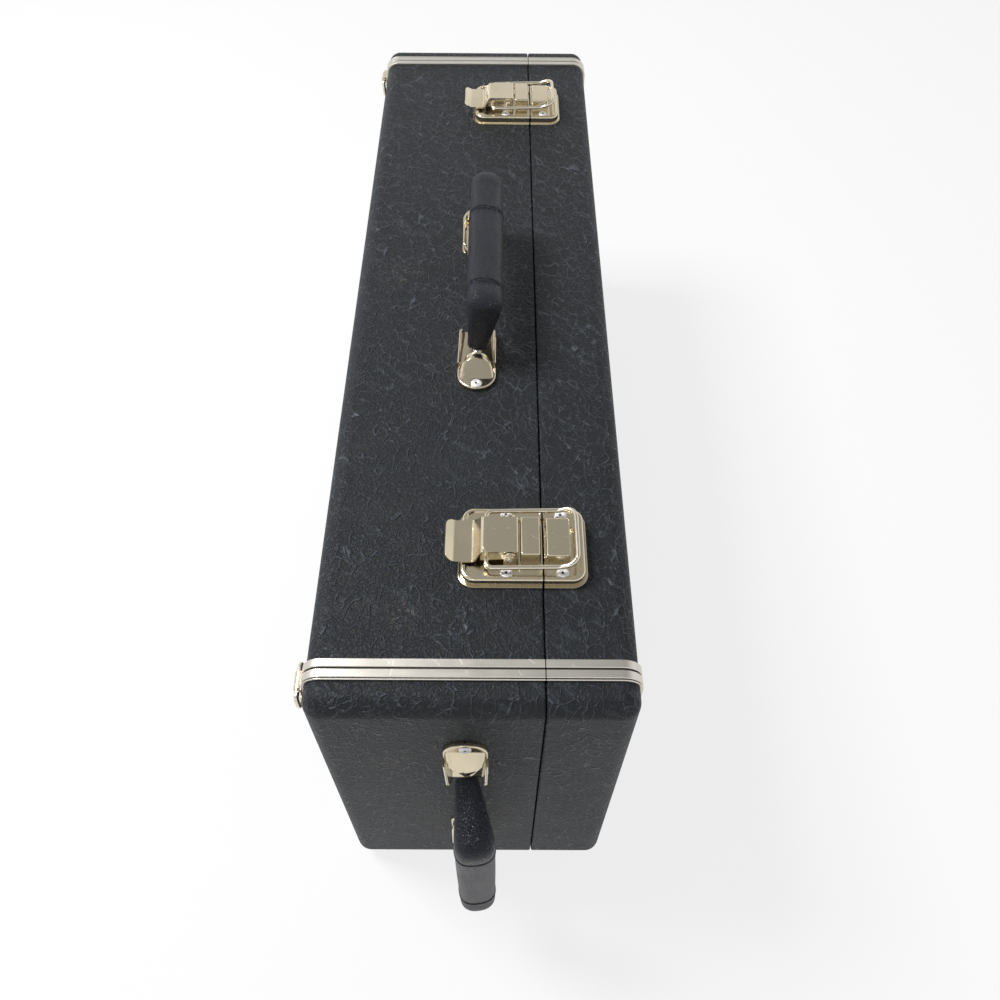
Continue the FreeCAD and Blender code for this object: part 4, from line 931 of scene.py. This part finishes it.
class CASE_OT_latches(bpy.types.Operator):
    """Make both draw latches"""

    bl_idname = "case.latches"
    bl_label = "Latches"

    def execute(self, context):
        sizes, looks = context.scene.case_latch, finishes(context)
        plated, proud = looks["latch_plate_metal"], context.scene.case_covering.proud
        for end in ENDS:
            prefix = "latch_%s_" % end
            low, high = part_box(prefix + "base_plate")
            keeper_low, keeper_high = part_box(prefix + "keeper")
            middle, half = (low.y + high.y) / 2, (high.y - low.y) / 2
            seat = Matrix.Translation((PARTING, middle, TOP))
            base = latch_base(sizes, low.x - PARTING, high.x - PARTING + proud, half)
            piece(moved(base, seat), prefix + "plate_and_hood", plated, "base",
                  [prefix + "base_plate"])
            keeper = latch_keeper(sizes, keeper_low.x - PARTING - proud, keeper_high.x - PARTING, half)
            piece(moved(keeper, seat), prefix + "keeper_plate", plated, "lid",
                  [prefix + "keeper"])
            lever = piece(moved(latch_lever(sizes), seat), prefix + "pressed_lever", plated, "lever_" + end,
                          [prefix + "lever"])
            thickened(lever, sizes.sheet, -1.0, 0.25 * MM)
            piece(moved(latch_wire(sizes), seat), prefix + "wire_loop", looks["wire_metal"], "wire_" + end,
                  [prefix + "bail"])
        return {"FINISHED"}


# Handles

def handle_matrix(prefix):
    """Places a handle's own frame: X across, Y along the handle and Z out of the case."""
    joint = JOINTS[prefix + "tilt"]
    at = Vector(joint["pos_m"])
    if prefix == "main_handle_":
        at.z = TOP
        return Matrix.Translation(at)
    at.y = BASE_LOW.y
    return Matrix.Translation(at) @ Matrix.Rotation(math.pi / 2, 4, "X")


def grip_line(sizes):
    """Stations from the middle of the grip to the foot of a leg: place, heading, width and depth."""
    leg, foot, rise = sizes.leg, sizes.foot, sizes.centre - sizes.foot
    full, slim = (sizes.width, sizes.depth), (sizes.leg_width, sizes.leg_depth)
    rows = ((0.0, 1.0, 0, 1.04, 1.04), (0.45, 1.0, 0, 1.02, 1.02), (0.80, 1.005, 0, 1.0, 1.0),
            (0.925, 1.02, 8, 0.99, 1.02), (0.985, 0.985, 44, 0.96, 1.22), (0.998, 0.84, 74, 0.82, 0.76),
            (0.998, 0.62, 85, 0.56, 0.36), (1.0, 0.40, 90, 0.32, 0.18), (1.0, 0.18, 90, 0.10, 0.06),
            (1.0, 0.0, 90, 0.0, 0.0))
    stations = []
    for along, up, turn, width, depth in rows:
        stations.append((Vector((0, leg * along, foot + rise * up)), math.radians(turn),
                         slim[0] + (full[0] - slim[0]) * width, slim[1] + (full[1] - slim[1]) * depth))
    return stations


def eased(rows, count):
    """Adds smooth rows between the listed ones, by a spline through them."""
    flat = [[*place, turn, width, depth] for place, turn, width, depth in rows]
    made = []
    for i in range(len(flat) - 1):
        before, after = flat[max(i - 1, 0)], flat[min(i + 2, len(flat) - 1)]
        for step in range(count):
            t = step / count
            made.append([0.5 * (2 * b + (c - a) * t + (2 * a - 5 * b + 4 * c - d) * t * t
                                + (3 * b - a - 3 * c + d) * t ** 3)
                         for a, b, c, d in zip(before, flat[i], flat[i + 1], after)])
    return made + [flat[-1]]


def grip_mesh(sizes, seams):
    """The grip, lofted from one leg to the other, with a raised ring and a groove at each seam."""
    half = eased(grip_line(sizes), 7)
    line = [[x, -y, z, -turn, width, depth] for x, y, z, turn, width, depth in reversed(half[1:])] + half
    rings = [(y, z, turn, width, depth, 0.0) for x, y, z, turn, width, depth in line]
    for seam in seams:
        for off, dip in ((-2.2, 0), (-1.3, 0.1), (-0.8, -0.5), (-0.3, 0.35), (0.5, 0.5), (1.1, -1.0), (1.6, -0.6),
                         (2.4, 0)):
            place = seam + off * MM
            before = max((row for row in line if row[1] <= place), key=lambda row: row[1])
            after = min((row for row in line if row[1] > place), key=lambda row: row[1])
            t = (place - before[1]) / (after[1] - before[1])
            row = [a + (b - a) * t for a, b in zip(before, after)]
            rings.append((place, row[2], row[3], row[4], row[5], dip * sizes.seam_dip))
        rings = [ring for ring in rings if abs(ring[0] - seam) > 2.5 * MM or ring[5] != 0.0
                 or abs(abs(ring[0] - seam) - 2.2 * MM) < 0.25 * MM]
    legs_low = [ring for ring in rings if ring[0] < -sizes.leg * 0.9]
    legs_high = [ring for ring in rings if ring[0] > sizes.leg * 0.9]
    middle = sorted((ring for ring in rings if abs(ring[0]) <= sizes.leg * 0.9), key=lambda ring: ring[0])
    outlines = []
    for y, z, turn, width, depth, dip in legs_low + middle + legs_high:
        heading = Matrix.Rotation(-turn, 4, "X") @ Matrix.Rotation(math.pi / 2, 4, "X")
        square = 2.25 + 0.35 * (1 - abs(math.sin(turn)))
        outlines.append((Matrix.Translation((0, y, z)) @ heading, width / 2 + dip, depth / 2 + dip, square))
    return lofted(outlines)


def shoe_mesh(sizes):
    """A shoe that holds one end of a handle: pan, turned-up walls, crescent ledge and domed hood."""
    half, seat = sizes.shoe_half, 0.05 * MM
    bm = slab((-half, sizes.shoe_inner, seat), (half, sizes.shoe_reach, sizes.shoe_plate))
    bevel(bm, edges_on(bm, "z", y=1), sizes.shoe_corner, 12)
    bevel(bm, edges_on(bm, "z", y=-1), sizes.shoe_corner / 2, 8)
    bevel(bm, [edge for face in rim_of(bm, 2, 1) for edge in face.edges], 0.5 * MM, 3)
    ledge = slab((-half, sizes.mouth, seat), (half, sizes.shoe_reach, sizes.ledge))
    bevel(ledge, edges_on(ledge, "z", y=1), sizes.shoe_corner, 12)
    bevel(ledge, [edge for face in rim_of(ledge, 2, 1) for edge in face.edges], 0.9 * MM, 4)
    pour(bm, ledge)
    for side in (-1, 1):
        x = sorted((side * half, side * (half - sizes.wall_thick)))
        wall = slab((x[0], sizes.shoe_inner + 0.5 * MM, seat), (x[1], sizes.ramp_end, sizes.wall_top))
        bevel(wall, edges_on(wall, "x", y=-1, z=1), sizes.wall_top * 0.62, 8)
        crest = [edge for edge in wall.edges if edge.calc_face_angle(0.0) > 0.6
                 and max(vert.co.z for vert in edge.verts) > sizes.shoe_plate * 1.5
                 and abs(edge.verts[0].co.x - edge.verts[1].co.x) < 1e-7]
        bevel(wall, crest, sizes.wall_thick * 0.42, 3)
        for vert in wall.verts:
            along = (sizes.ramp_end - vert.co.y) / (sizes.ramp_end - sizes.shoe_inner)
            inward = max(0.0, along - 0.72) / 0.28
            vert.co.x -= side * 2.6 * MM * inward ** 2
        pour(bm, wall)
    top, low = sizes.hood_top, sizes.ledge - 0.4 * MM
    rows = ((sizes.mouth, 7.6 * MM, top, 2.1), (sizes.mouth + 0.8 * MM, 7.1 * MM, top * 0.96, 2.1),
            (sizes.mouth + 2.2 * MM, 7.6 * MM, top * 0.97, 2.3), (sizes.ramp_end - 0.8 * MM, 8.8 * MM, top, 2.7),
            (sizes.ramp_end + 0.6 * MM, 9.3 * MM, top * 0.94, 3.3),
            (sizes.ramp_end + 3.4 * MM, 9.8 * MM, top * 0.66, 4.2),
            (sizes.ledge_end - 0.6 * MM, 9.9 * MM, low + 0.9 * MM, 5.5),
            (sizes.ledge_end + 0.4 * MM, 9.6 * MM, low + 0.1 * MM, 6.0))
    upright = Matrix.Rotation(math.pi / 2, 4, "X")
    rings = [(Matrix.Translation((0, y, 0)) @ upright, width, height, square, seat, 40)
             for y, width, height, square in rows]
    hood = lofted(rings)
    mouth = [face for face in hood.faces if all(abs(vert.co.y - sizes.mouth) < 1e-6 for vert in face.verts)]
    bmesh.ops.recalc_face_normals(hood, faces=hood.faces)
    bmesh.ops.inset_region(hood, faces=mouth, thickness=1.3 * MM, depth=0.0)
    mouth = [face for face in mouth if face.is_valid]
    deep = bmesh.ops.extrude_discrete_faces(hood, faces=mouth)["faces"]
    bmesh.ops.translate(hood, vec=(0, 4.0 * MM, 0), verts=list({vert for face in deep for vert in face.verts}))
    pour(bm, hood)
    return bm


class CASE_OT_handles(bpy.types.Operator):
    """Make the grips and the shoes of both handles"""

    bl_idname = "case.handles"
    bl_label = "Handles"

    def execute(self, context):
        sizes, looks = context.scene.case_handle, finishes(context)
        for prefix, shoes, seams in (
                ("main_handle_", ("near_shoe", "far_shoe"), (sizes.seam_near, sizes.seam_far)),
                ("end_handle_", ("lower_shoe", "upper_shoe"), (sizes.seam_low, sizes.seam_high))):
            at = handle_matrix(prefix)
            level = (Vector(JOINTS[prefix + "tilt"]["pos_m"]) - at.translation).length
            pivot = Matrix.Translation((0, 0, level))
            lean = pivot @ Matrix.Rotation(sizes.lean, 4, "Y") @ pivot.inverted()
            grip = piece(moved(grip_mesh(sizes, seams), at @ lean), prefix + "moulded_grip", looks["grip"],
                         prefix[:-1], [prefix + "grip"], weighted=False, smooth=60)
            finer = grip.modifiers.new("smoother", "SUBSURF")
            finer.levels = finer.render_levels = 1
            for shoe, turn in zip(shoes, (math.pi, 0.0)):
                mesh = moved(shoe_mesh(sizes), at @ Matrix.Rotation(turn, 4, "Z"))
                piece(mesh, prefix + shoe + "_pressing", looks["latch_plate_metal"], "base",
                      [prefix + shoe])
        return {"FINISHED"}


# Rivets, strap rings and glides

OUTWARD = ((2, 1, Matrix.Identity(4)), (2, -1, Matrix.Rotation(math.pi, 4, "X")),
           (1, -1, Matrix.Rotation(math.pi / 2, 4, "X")), (0, -1, Matrix.Rotation(-math.pi / 2, 4, "Y")))


def rivet_mesh(sizes, low, high):
    """A tubular rivet: its head points out of the side of the case that it stands on."""
    case = (BASE_LOW, LID_HIGH)
    for axis, side, turn in OUTWARD:
        beyond = high[axis] - case[1][axis] if side > 0 else case[0][axis] - low[axis]
        if beyond > 0:
            break
    middle = (low + high) / 2
    middle[axis] = (high[axis] - sizes.rivet_dome) if side > 0 else (low[axis] + sizes.rivet_dome)
    head, dome = sizes.rivet_head, sizes.rivet_dome
    shape = ((0.0, 0.25), (0.18, 0.25), (0.22, 0.62), (0.30, 0.72), (0.50, 0.72), (0.55, 0.60), (0.60, 0.72),
             (0.80, 0.70), (0.92, 0.56), (0.98, 0.34), (1.0, 0.12))
    profile = [(head * out, dome * up) for out, up in shape]
    profile += [(head, 0.0), (sizes.rivet_shank, 0.0), (sizes.rivet_shank, -3 * MM), (0, -3 * MM)]
    bm = turned(profile, 26)
    # The sunk middle of the head takes the near-black finish: painted shade in the rivet's hollow
    for face in bm.faces:
        if face.calc_center_median().z > 0 and face.calc_center_median().xy.length < head * 0.2:
            face.material_index = 1
    return moved(bm, Matrix.Translation(middle) @ turn)


class CASE_OT_fittings(bpy.types.Operator):
    """Make the rivets, strap rings and glides"""

    bl_idname = "case.fittings"
    bl_label = "Rivets, rings and glides"

    def execute(self, context):
        sizes, looks = context.scene.case_fitting, finishes(context)
        for node in ("base_rivets", "lid_rivets", "handle_rivets"):
            bm = bmesh.new()
            for low, high in solids_of(node):
                pour(bm, rivet_mesh(sizes, low, high))
            piece(bm, node + "_tubular", (looks["rivet_metal"], looks["groove"]), body_of(node),
                  [node], weighted=False, smooth=50)
        for end in ENDS:
            at = Vector(JOINTS["strap_ring_%s_swing" % end]["pos_m"])
            half, fall = sizes.ring_half, sizes.ring_fall
            points = [Vector((0, 0, 0)), Vector((0, half, 0)), Vector((0, half, -fall)),
                      Vector((0, -half, -fall)), Vector((0, -half, 0)), Vector((0, 0, 0))]
            radii = [0, sizes.ring_bar, sizes.ring_bow, sizes.ring_bow, sizes.ring_bar, 0]
            ring = tube(points, radii, sizes.ring_wire, closed=True)
            piece(moved(ring, Matrix.Translation(at)), "strap_ring_%s_wire" % end, looks["wire_metal"],
                  "ring_" + end, ["strap_ring_" + end], weighted=False)
        for node in ("base_feet", "lid_feet"):
            bm = bmesh.new()
            for low, high in solids_of(node):
                radius, rise = (high.x - low.x) / 2, high.z - low.z
                stud = turned(((0, 0), (radius * 0.62, 0), (radius * 0.80, rise * 0.06), (radius * 0.93, rise * 0.2),
                               (radius * 0.99, rise * 0.42), (radius, rise * 0.62), (radius * 0.93, rise * 0.70),
                               (radius * 0.93, rise * 0.80), (radius, rise * 0.86), (radius, rise), (0, rise)), 36)
                moved(stud, Matrix.Translation(((low.x + high.x) / 2, (low.y + high.y) / 2, low.z)))
                pour(bm, stud)
            piece(bm, node + "_studs", looks["glide"], body_of(node), [node], weighted=False)
        return {"FINISHED"}


# Plush inside

def crowned_pad(low, high, sizes, axis=0, side=1, cuts=14):
    """A pad whose open face swells gently between its edges."""
    bm = slab(low, high)
    bevel(bm, list(bm.edges), min(sizes.edge, min(Vector(high) - Vector(low)) * 0.4), 3)
    across = [other for other in range(3) if other != axis]
    for other in across:
        for cut in range(1, cuts):
            at = Vector(low)
            at[other] += (high[other] - low[other]) * cut / cuts
            normal = Vector((0, 0, 0))
            normal[other] = 1.0
            bmesh.ops.bisect_plane(bm, geom=bm.verts[:] + bm.edges[:] + bm.faces[:], plane_co=at,
                                   plane_no=normal)
    level = (high if side > 0 else low)[axis]
    for vert in bm.verts:
        if abs(vert.co[axis] - level) > sizes.edge * 1.1:
            continue
        share = 1.0
        for other in across:
            span = high[other] - low[other]
            place = min(1.0, max(0.0, (vert.co[other] - low[other]) / span))
            share *= (4 * place * (1 - place)) ** 0.35
        ripple = 0.25 * math.sin(vert.co[across[0]] * 61) * math.sin(vert.co[across[1]] * 47)
        vert.co[axis] += side * sizes.crown * share * (0.75 + ripple)
    return bm


def baked(made):
    """Replaces an object's mesh by what its modifiers make of it."""
    graph = bpy.context.evaluated_depsgraph_get()
    mesh = bpy.data.meshes.new_from_object(made.evaluated_get(graph))
    old = made.data
    made.modifiers.clear()
    made.data = mesh
    bpy.data.meshes.remove(old)
    return made


def swollen(node, name, sizes, material, body):
    """A padded copy of a solid: built on a grid, drawn in a little and swollen as cloth under pressure."""
    bm = bmesh.new()
    bm.from_mesh(frame["nodes"][node].data)
    bmesh.ops.remove_doubles(bm, verts=bm.verts, dist=1e-6)
    mesh = bpy.data.meshes.new(name)
    bm.to_mesh(mesh)
    bm.free()
    made = bpy.data.objects.new(name, mesh)
    bpy.context.scene.collection.objects.link(made)
    grid = made.modifiers.new("grid", "REMESH")
    grid.mode, grid.voxel_size = "VOXEL", sizes.voxel
    baked(made)
    start = [vert.co.copy() for vert in made.data.vertices]
    for vert, normal in zip(made.data.vertices, [vert.normal.copy() for vert in made.data.vertices]):
        vert.co = vert.co - normal * sizes.draw_in
    swell(made)
    low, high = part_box(node)
    for vert, first in zip(made.data.vertices, start):
        shift = vert.co - first
        if shift.length > sizes.swell:
            vert.co = first + shift.normalized() * sizes.swell
        for axis in range(3):
            vert.co[axis] = min(high[axis] + 0.6 * MM, max(low[axis] - 0.05 * MM, vert.co[axis]))
    smooth = made.modifiers.new("relaxed", "SMOOTH")
    smooth.factor, smooth.iterations = 0.5, 4
    baked(made)
    for polygon in made.data.polygons:
        polygon.use_smooth = True
    made.data.materials.clear()
    made.data.materials.append(material)
    finer = made.modifiers.new("smoother", "SUBSURF")
    finer.levels = finer.render_levels = 1
    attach(made, body)
    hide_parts(node)
    return made


def swell(made):
    """Runs a short cloth simulation with pressure inside the closed piece."""
    cloth = made.modifiers.new("cloth", "CLOTH")
    settings = cloth.settings
    settings.quality = 5
    settings.mass = 0.3
    settings.tension_stiffness = settings.compression_stiffness = 40
    settings.bending_stiffness = 6
    settings.use_pressure = True
    settings.uniform_pressure_force = 4.0
    settings.effector_weights.gravity = 0.0
    cloth.collision_settings.use_collision = False
    scene = bpy.context.scene
    for number in range(1, 21):
        scene.frame_set(number)
    baked(made)
    scene.frame_set(1)


class CASE_OT_lining(bpy.types.Operator):
    """Make the plush lining, rests and accessory box"""

    bl_idname = "case.lining"
    bl_label = "Lining and rests"

    def execute(self, context):
        sizes, looks = context.scene.case_lining, finishes(context)
        plush = looks["plush"]
        low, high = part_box("base_floor_pad")
        floor = piece(crowned_pad(low, high, sizes), "base_floor_plush", plush, "base",
                      ["base_floor_pad"], weighted=False, smooth=70)
        middle = (BASE_LOW + BASE_HIGH) / 2
        for low, high in solids_of("base_wall_lining"):
            span = high - low
            axis = 2 if span.y > span.z else 1
            side = 1 if ((low + high) / 2)[axis] < middle[axis] else -1
            word = {(2, 1): "hinge_side", (2, -1): "handle_side", (1, 1): "near", (1, -1): "far"}[(axis, side)]
            pad = piece(crowned_pad(low, high, sizes, axis, side, 10), "wall_plush_" + word, plush, "base",
                        (), weighted=False, smooth=70)
        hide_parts("base_wall_lining")
        self.lid_tray(sizes, plush)
        for node, name in (("bell_rest", "bell_rest_plush"), ("valve_rest", "valve_rest_plush"),
                           ("mouthpiece_rest", "mouthpiece_rest_plush")):
            swollen(node, name, sizes, plush, "base")
        self.accessory_box(sizes, plush)
        return {"FINISHED"}

    def lid_tray(self, sizes, plush):
        """The lid's lining: a crowned face pad inside a rim of four wall pads."""
        low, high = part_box("lid_lining")
        wall, face = 4.1 * MM, 6.0 * MM
        boxes = {"face": ((high.x - face, low.y, low.z), (high.x, high.y, high.z), 0, -1),
                 "handle_side": ((low.x, low.y, high.z - wall), (high.x - face, high.y, high.z), 2, -1),
                 "hinge_side": ((low.x, low.y, low.z), (high.x - face, high.y, low.z + wall), 2, 1),
                 "near": ((low.x, low.y, low.z + wall), (high.x - face, low.y + wall, high.z - wall), 1, 1),
                 "far": ((low.x, high.y - wall, low.z + wall), (high.x - face, high.y, high.z - wall), 1, -1)}
        for word, (start, stop, axis, side) in boxes.items():
            pad = piece(crowned_pad(Vector(start), Vector(stop), sizes, axis, side, 12), "lid_plush_" + word,
                        plush, "lid", ["lid_lining"] if word == "face" else (), weighted=False,
                        smooth=70)

    def accessory_box(self, sizes, plush):
        """The plush-covered box and its lid."""
        low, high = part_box("accessory_box")
        bm = slab(low, high)
        bmesh.ops.inset_region(bm, faces=rim_of(bm, 0, 1), thickness=sizes.box_wall, depth=0.0)
        mouth = max(rim_of(bm, 0, 1), key=lambda face: face.calc_area())
        drawn_face(bm, mouth, Vector((-(high.x - low.x - sizes.box_wall), 0, 0)))
        bevel(bm, list(bm.edges), 1.1 * MM, 3)
        carcass = piece(bm, "accessory_box_plush", plush, "base", ["accessory_box"], weighted=False,
                        smooth=70)
        low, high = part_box("accessory_lid")
        lid = slab(low, high)
        bevel(lid, list(lid.edges), 1.7 * MM, 4)
        made = piece(lid, "accessory_lid_plush", plush, "box_lid", ["accessory_lid"], weighted=False,
                     smooth=70)


def drawn_face(bm, face, shift):
    """Sinks one face and walls its sides."""
    made = bmesh.ops.extrude_discrete_faces(bm, faces=[face])["faces"]
    bmesh.ops.translate(bm, vec=shift, verts=list({vert for item in made for vert in item.verts}))


# Finishes of the parts that keep their own shape

class CASE_OT_finishes(bpy.types.Operator):
    """Give every part of the frame its finish"""

    bl_idname = "case.finishes"
    bl_label = "Finishes"

    def execute(self, context):
        looks = finishes(context)
        slots = {row["node"]: row["material_slot"] for row in frame["record"]["subparts"]}
        for node, made in frame["nodes"].items():
            made.data.materials.clear()
            made.data.materials.append(looks[slots[node]])
        return {"FINISHED"}


# Stage

CAMERA_PLACE = Vector((0.01117, -0.43739, 0.61568))
CAMERA_YAW, CAMERA_PITCH, CAMERA_ROLL = [math.radians(angle) for angle in (0.286, 54.248, -0.542)]
CAMERA_LENS = 32.69
# the sines of the heights between which the room darkens, and the floor's share of plain white
ROOM_FALL = (0.34, 0.82)
FLOOR_GLOW = 0.80


def camera_matrix():
    """The camera's place and aim, worked out from the photograph's edges."""
    yaw, pitch, roll = CAMERA_YAW, CAMERA_PITCH, CAMERA_ROLL
    ahead = Vector((math.sin(yaw) * math.cos(pitch), math.cos(yaw) * math.cos(pitch), -math.sin(pitch)))
    right = Vector((math.cos(yaw), -math.sin(yaw), 0))
    down = ahead.cross(right)
    across = right * math.cos(roll) + down * math.sin(roll)
    under = down * math.cos(roll) - right * math.sin(roll)
    turn = Matrix((across, -under, -ahead)).transposed()
    return Matrix.Translation(CAMERA_PLACE) @ turn.to_4x4()


def lamp(name, power, size, place, aim):
    light = bpy.data.lights.new(name, "AREA")
    light.energy, light.size = power, size
    made = bpy.data.objects.new(name, light)
    bpy.context.scene.collection.objects.link(made)
    made.location = place
    made.rotation_euler = (Vector(aim) - Vector(place)).to_track_quat("-Z", "Y").to_euler()
    return made


def looked_at(nodes, links):
    """1 for what the camera, a reflection or glass looks at, and 0 for the light that falls on things."""
    path = nodes.new("ShaderNodeLightPath")
    share = path.outputs["Is Camera Ray"]
    for ray in ("Is Glossy Ray", "Is Transmission Ray"):
        most = nodes.new("ShaderNodeMath")
        most.operation = "MAXIMUM"
        links.new(share, most.inputs[0])
        links.new(path.outputs[ray], most.inputs[1])
        share = most.outputs[0]
    return share


def white_world(sizes):
    """Soft even light, and a white room that darkens only high overhead, to the camera and to reflections."""
    world = bpy.data.worlds.new("soft_room")
    bpy.context.scene.world = world
    world.use_nodes = True
    nodes, links = world.node_tree.nodes, world.node_tree.links
    parts = nodes.new("ShaderNodeSeparateXYZ")
    links.new(nodes.new("ShaderNodeTexCoord").outputs["Generated"], parts.inputs[0])
    room = nodes.new("ShaderNodeMapRange")
    room.interpolation_type = "SMOOTHSTEP"
    links.new(parts.outputs["Z"], room.inputs["Value"])
    level = nodes.new("ShaderNodeMapRange")
    links.new(looked_at(nodes, links), level.inputs["Value"])
    for name, value in (("From Min", ROOM_FALL[0]), ("From Max", ROOM_FALL[1]), ("To Min", 1.0),
                        ("To Max", sizes.ceiling)):
        room.inputs[name].default_value = value
    level.inputs["To Min"].default_value = sizes.fill
    links.new(room.outputs[0], level.inputs["To Max"])
    links.new(level.outputs[0], nodes["Background"].inputs["Strength"])
    nodes["Background"].inputs["Color"].default_value = (1, 1, 1, 1)


def floor_material():
    """A pale floor that shows white to the camera and to reflections, and keeps the object's shadow."""
    finish = Finish("pale_floor", Roughness=0.8)
    finish.feed("Base Color", finish.mix(finish.noise(3.0), (0.86, 0.86, 0.86), (0.90, 0.90, 0.90)))
    nodes, links = finish.nodes, finish.links
    glow = nodes.new("ShaderNodeEmission")
    share = nodes.new("ShaderNodeMath")
    share.operation = "MULTIPLY"
    share.inputs[1].default_value = FLOOR_GLOW
    links.new(looked_at(nodes, links), share.inputs[0])
    blend = nodes.new("ShaderNodeMixShader")
    links.new(share.outputs[0], blend.inputs[0])
    links.new(finish.shader.outputs[0], blend.inputs[1])
    links.new(glow.outputs[0], blend.inputs[2])
    links.new(blend.outputs[0], nodes["Material Output"].inputs["Surface"])
    return finish.material


class CASE_OT_stage(bpy.types.Operator):
    """Make the floor, the lamps and the camera"""

    bl_idname = "case.stage"
    bl_label = "Stage"

    def execute(self, context):
        sizes, scene = context.scene.case_stage, context.scene
        bm = bmesh.new()
        bmesh.ops.create_grid(bm, x_segments=1, y_segments=1, size=sizes.floor / 2)
        mesh = bpy.data.meshes.new("floor")
        bm.to_mesh(mesh)
        bm.free()
        mesh.materials.append(floor_material())
        floor = bpy.data.objects.new("floor", mesh)
        scene.collection.objects.link(floor)
        white_world(sizes)
        lamp("window", 33.0, sizes.lamp, (-0.95, 0.20, 1.65), (0, 0, 0.15))
        lamp("front_softbox", 1.6, 0.5, (-0.35, -1.50, 1.30), (0, -0.2, 0.2))
        camera = bpy.data.objects.new("camera", bpy.data.cameras.new("camera"))
        scene.collection.objects.link(camera)
        camera.data.lens = CAMERA_LENS
        camera.data.sensor_width = 36
        camera.data.clip_start = 0.01
        camera.matrix_world = camera_matrix()
        scene.camera = camera
        scene.view_settings.view_transform = "Standard"
        return {"FINISHED"}


class CASE_PT_panel(bpy.types.Panel):
    """Lists the case's operators"""

    bl_idname = "CASE_PT_panel"
    bl_label = "Trumpet Case"
    bl_space_type = "VIEW_3D"
    bl_region_type = "UI"
    bl_category = "Case"

    def draw(self, context):
        for maker in MAKERS:
            self.layout.operator(maker.bl_idname)


MAKERS = (CASE_OT_finishes, CASE_OT_covering, CASE_OT_bands, CASE_OT_latches, CASE_OT_handles,
          CASE_OT_fittings, CASE_OT_lining, CASE_OT_stage)


def register():
    for group in GROUPS.values():
        bpy.utils.register_class(group)
    for name, group in GROUPS.items():
        setattr(bpy.types.Scene, name, bpy.props.PointerProperty(type=group))
    for maker in (*MAKERS, CASE_PT_panel):
        bpy.utils.register_class(maker)


def unregister():
    for maker in (CASE_PT_panel, *reversed(MAKERS)):
        bpy.utils.unregister_class(maker)
    for name in GROUPS:
        delattr(bpy.types.Scene, name)
    for group in reversed(GROUPS.values()):
        bpy.utils.unregister_class(group)


def main():
    register()
    for maker in MAKERS:
        group, name = maker.bl_idname.split(".")
        result = getattr(getattr(bpy.ops, group), name)()
        if "FINISHED" not in result:
            raise RuntimeError(maker.bl_label + " could not finish")


if __name__ == "__main__":
    main()
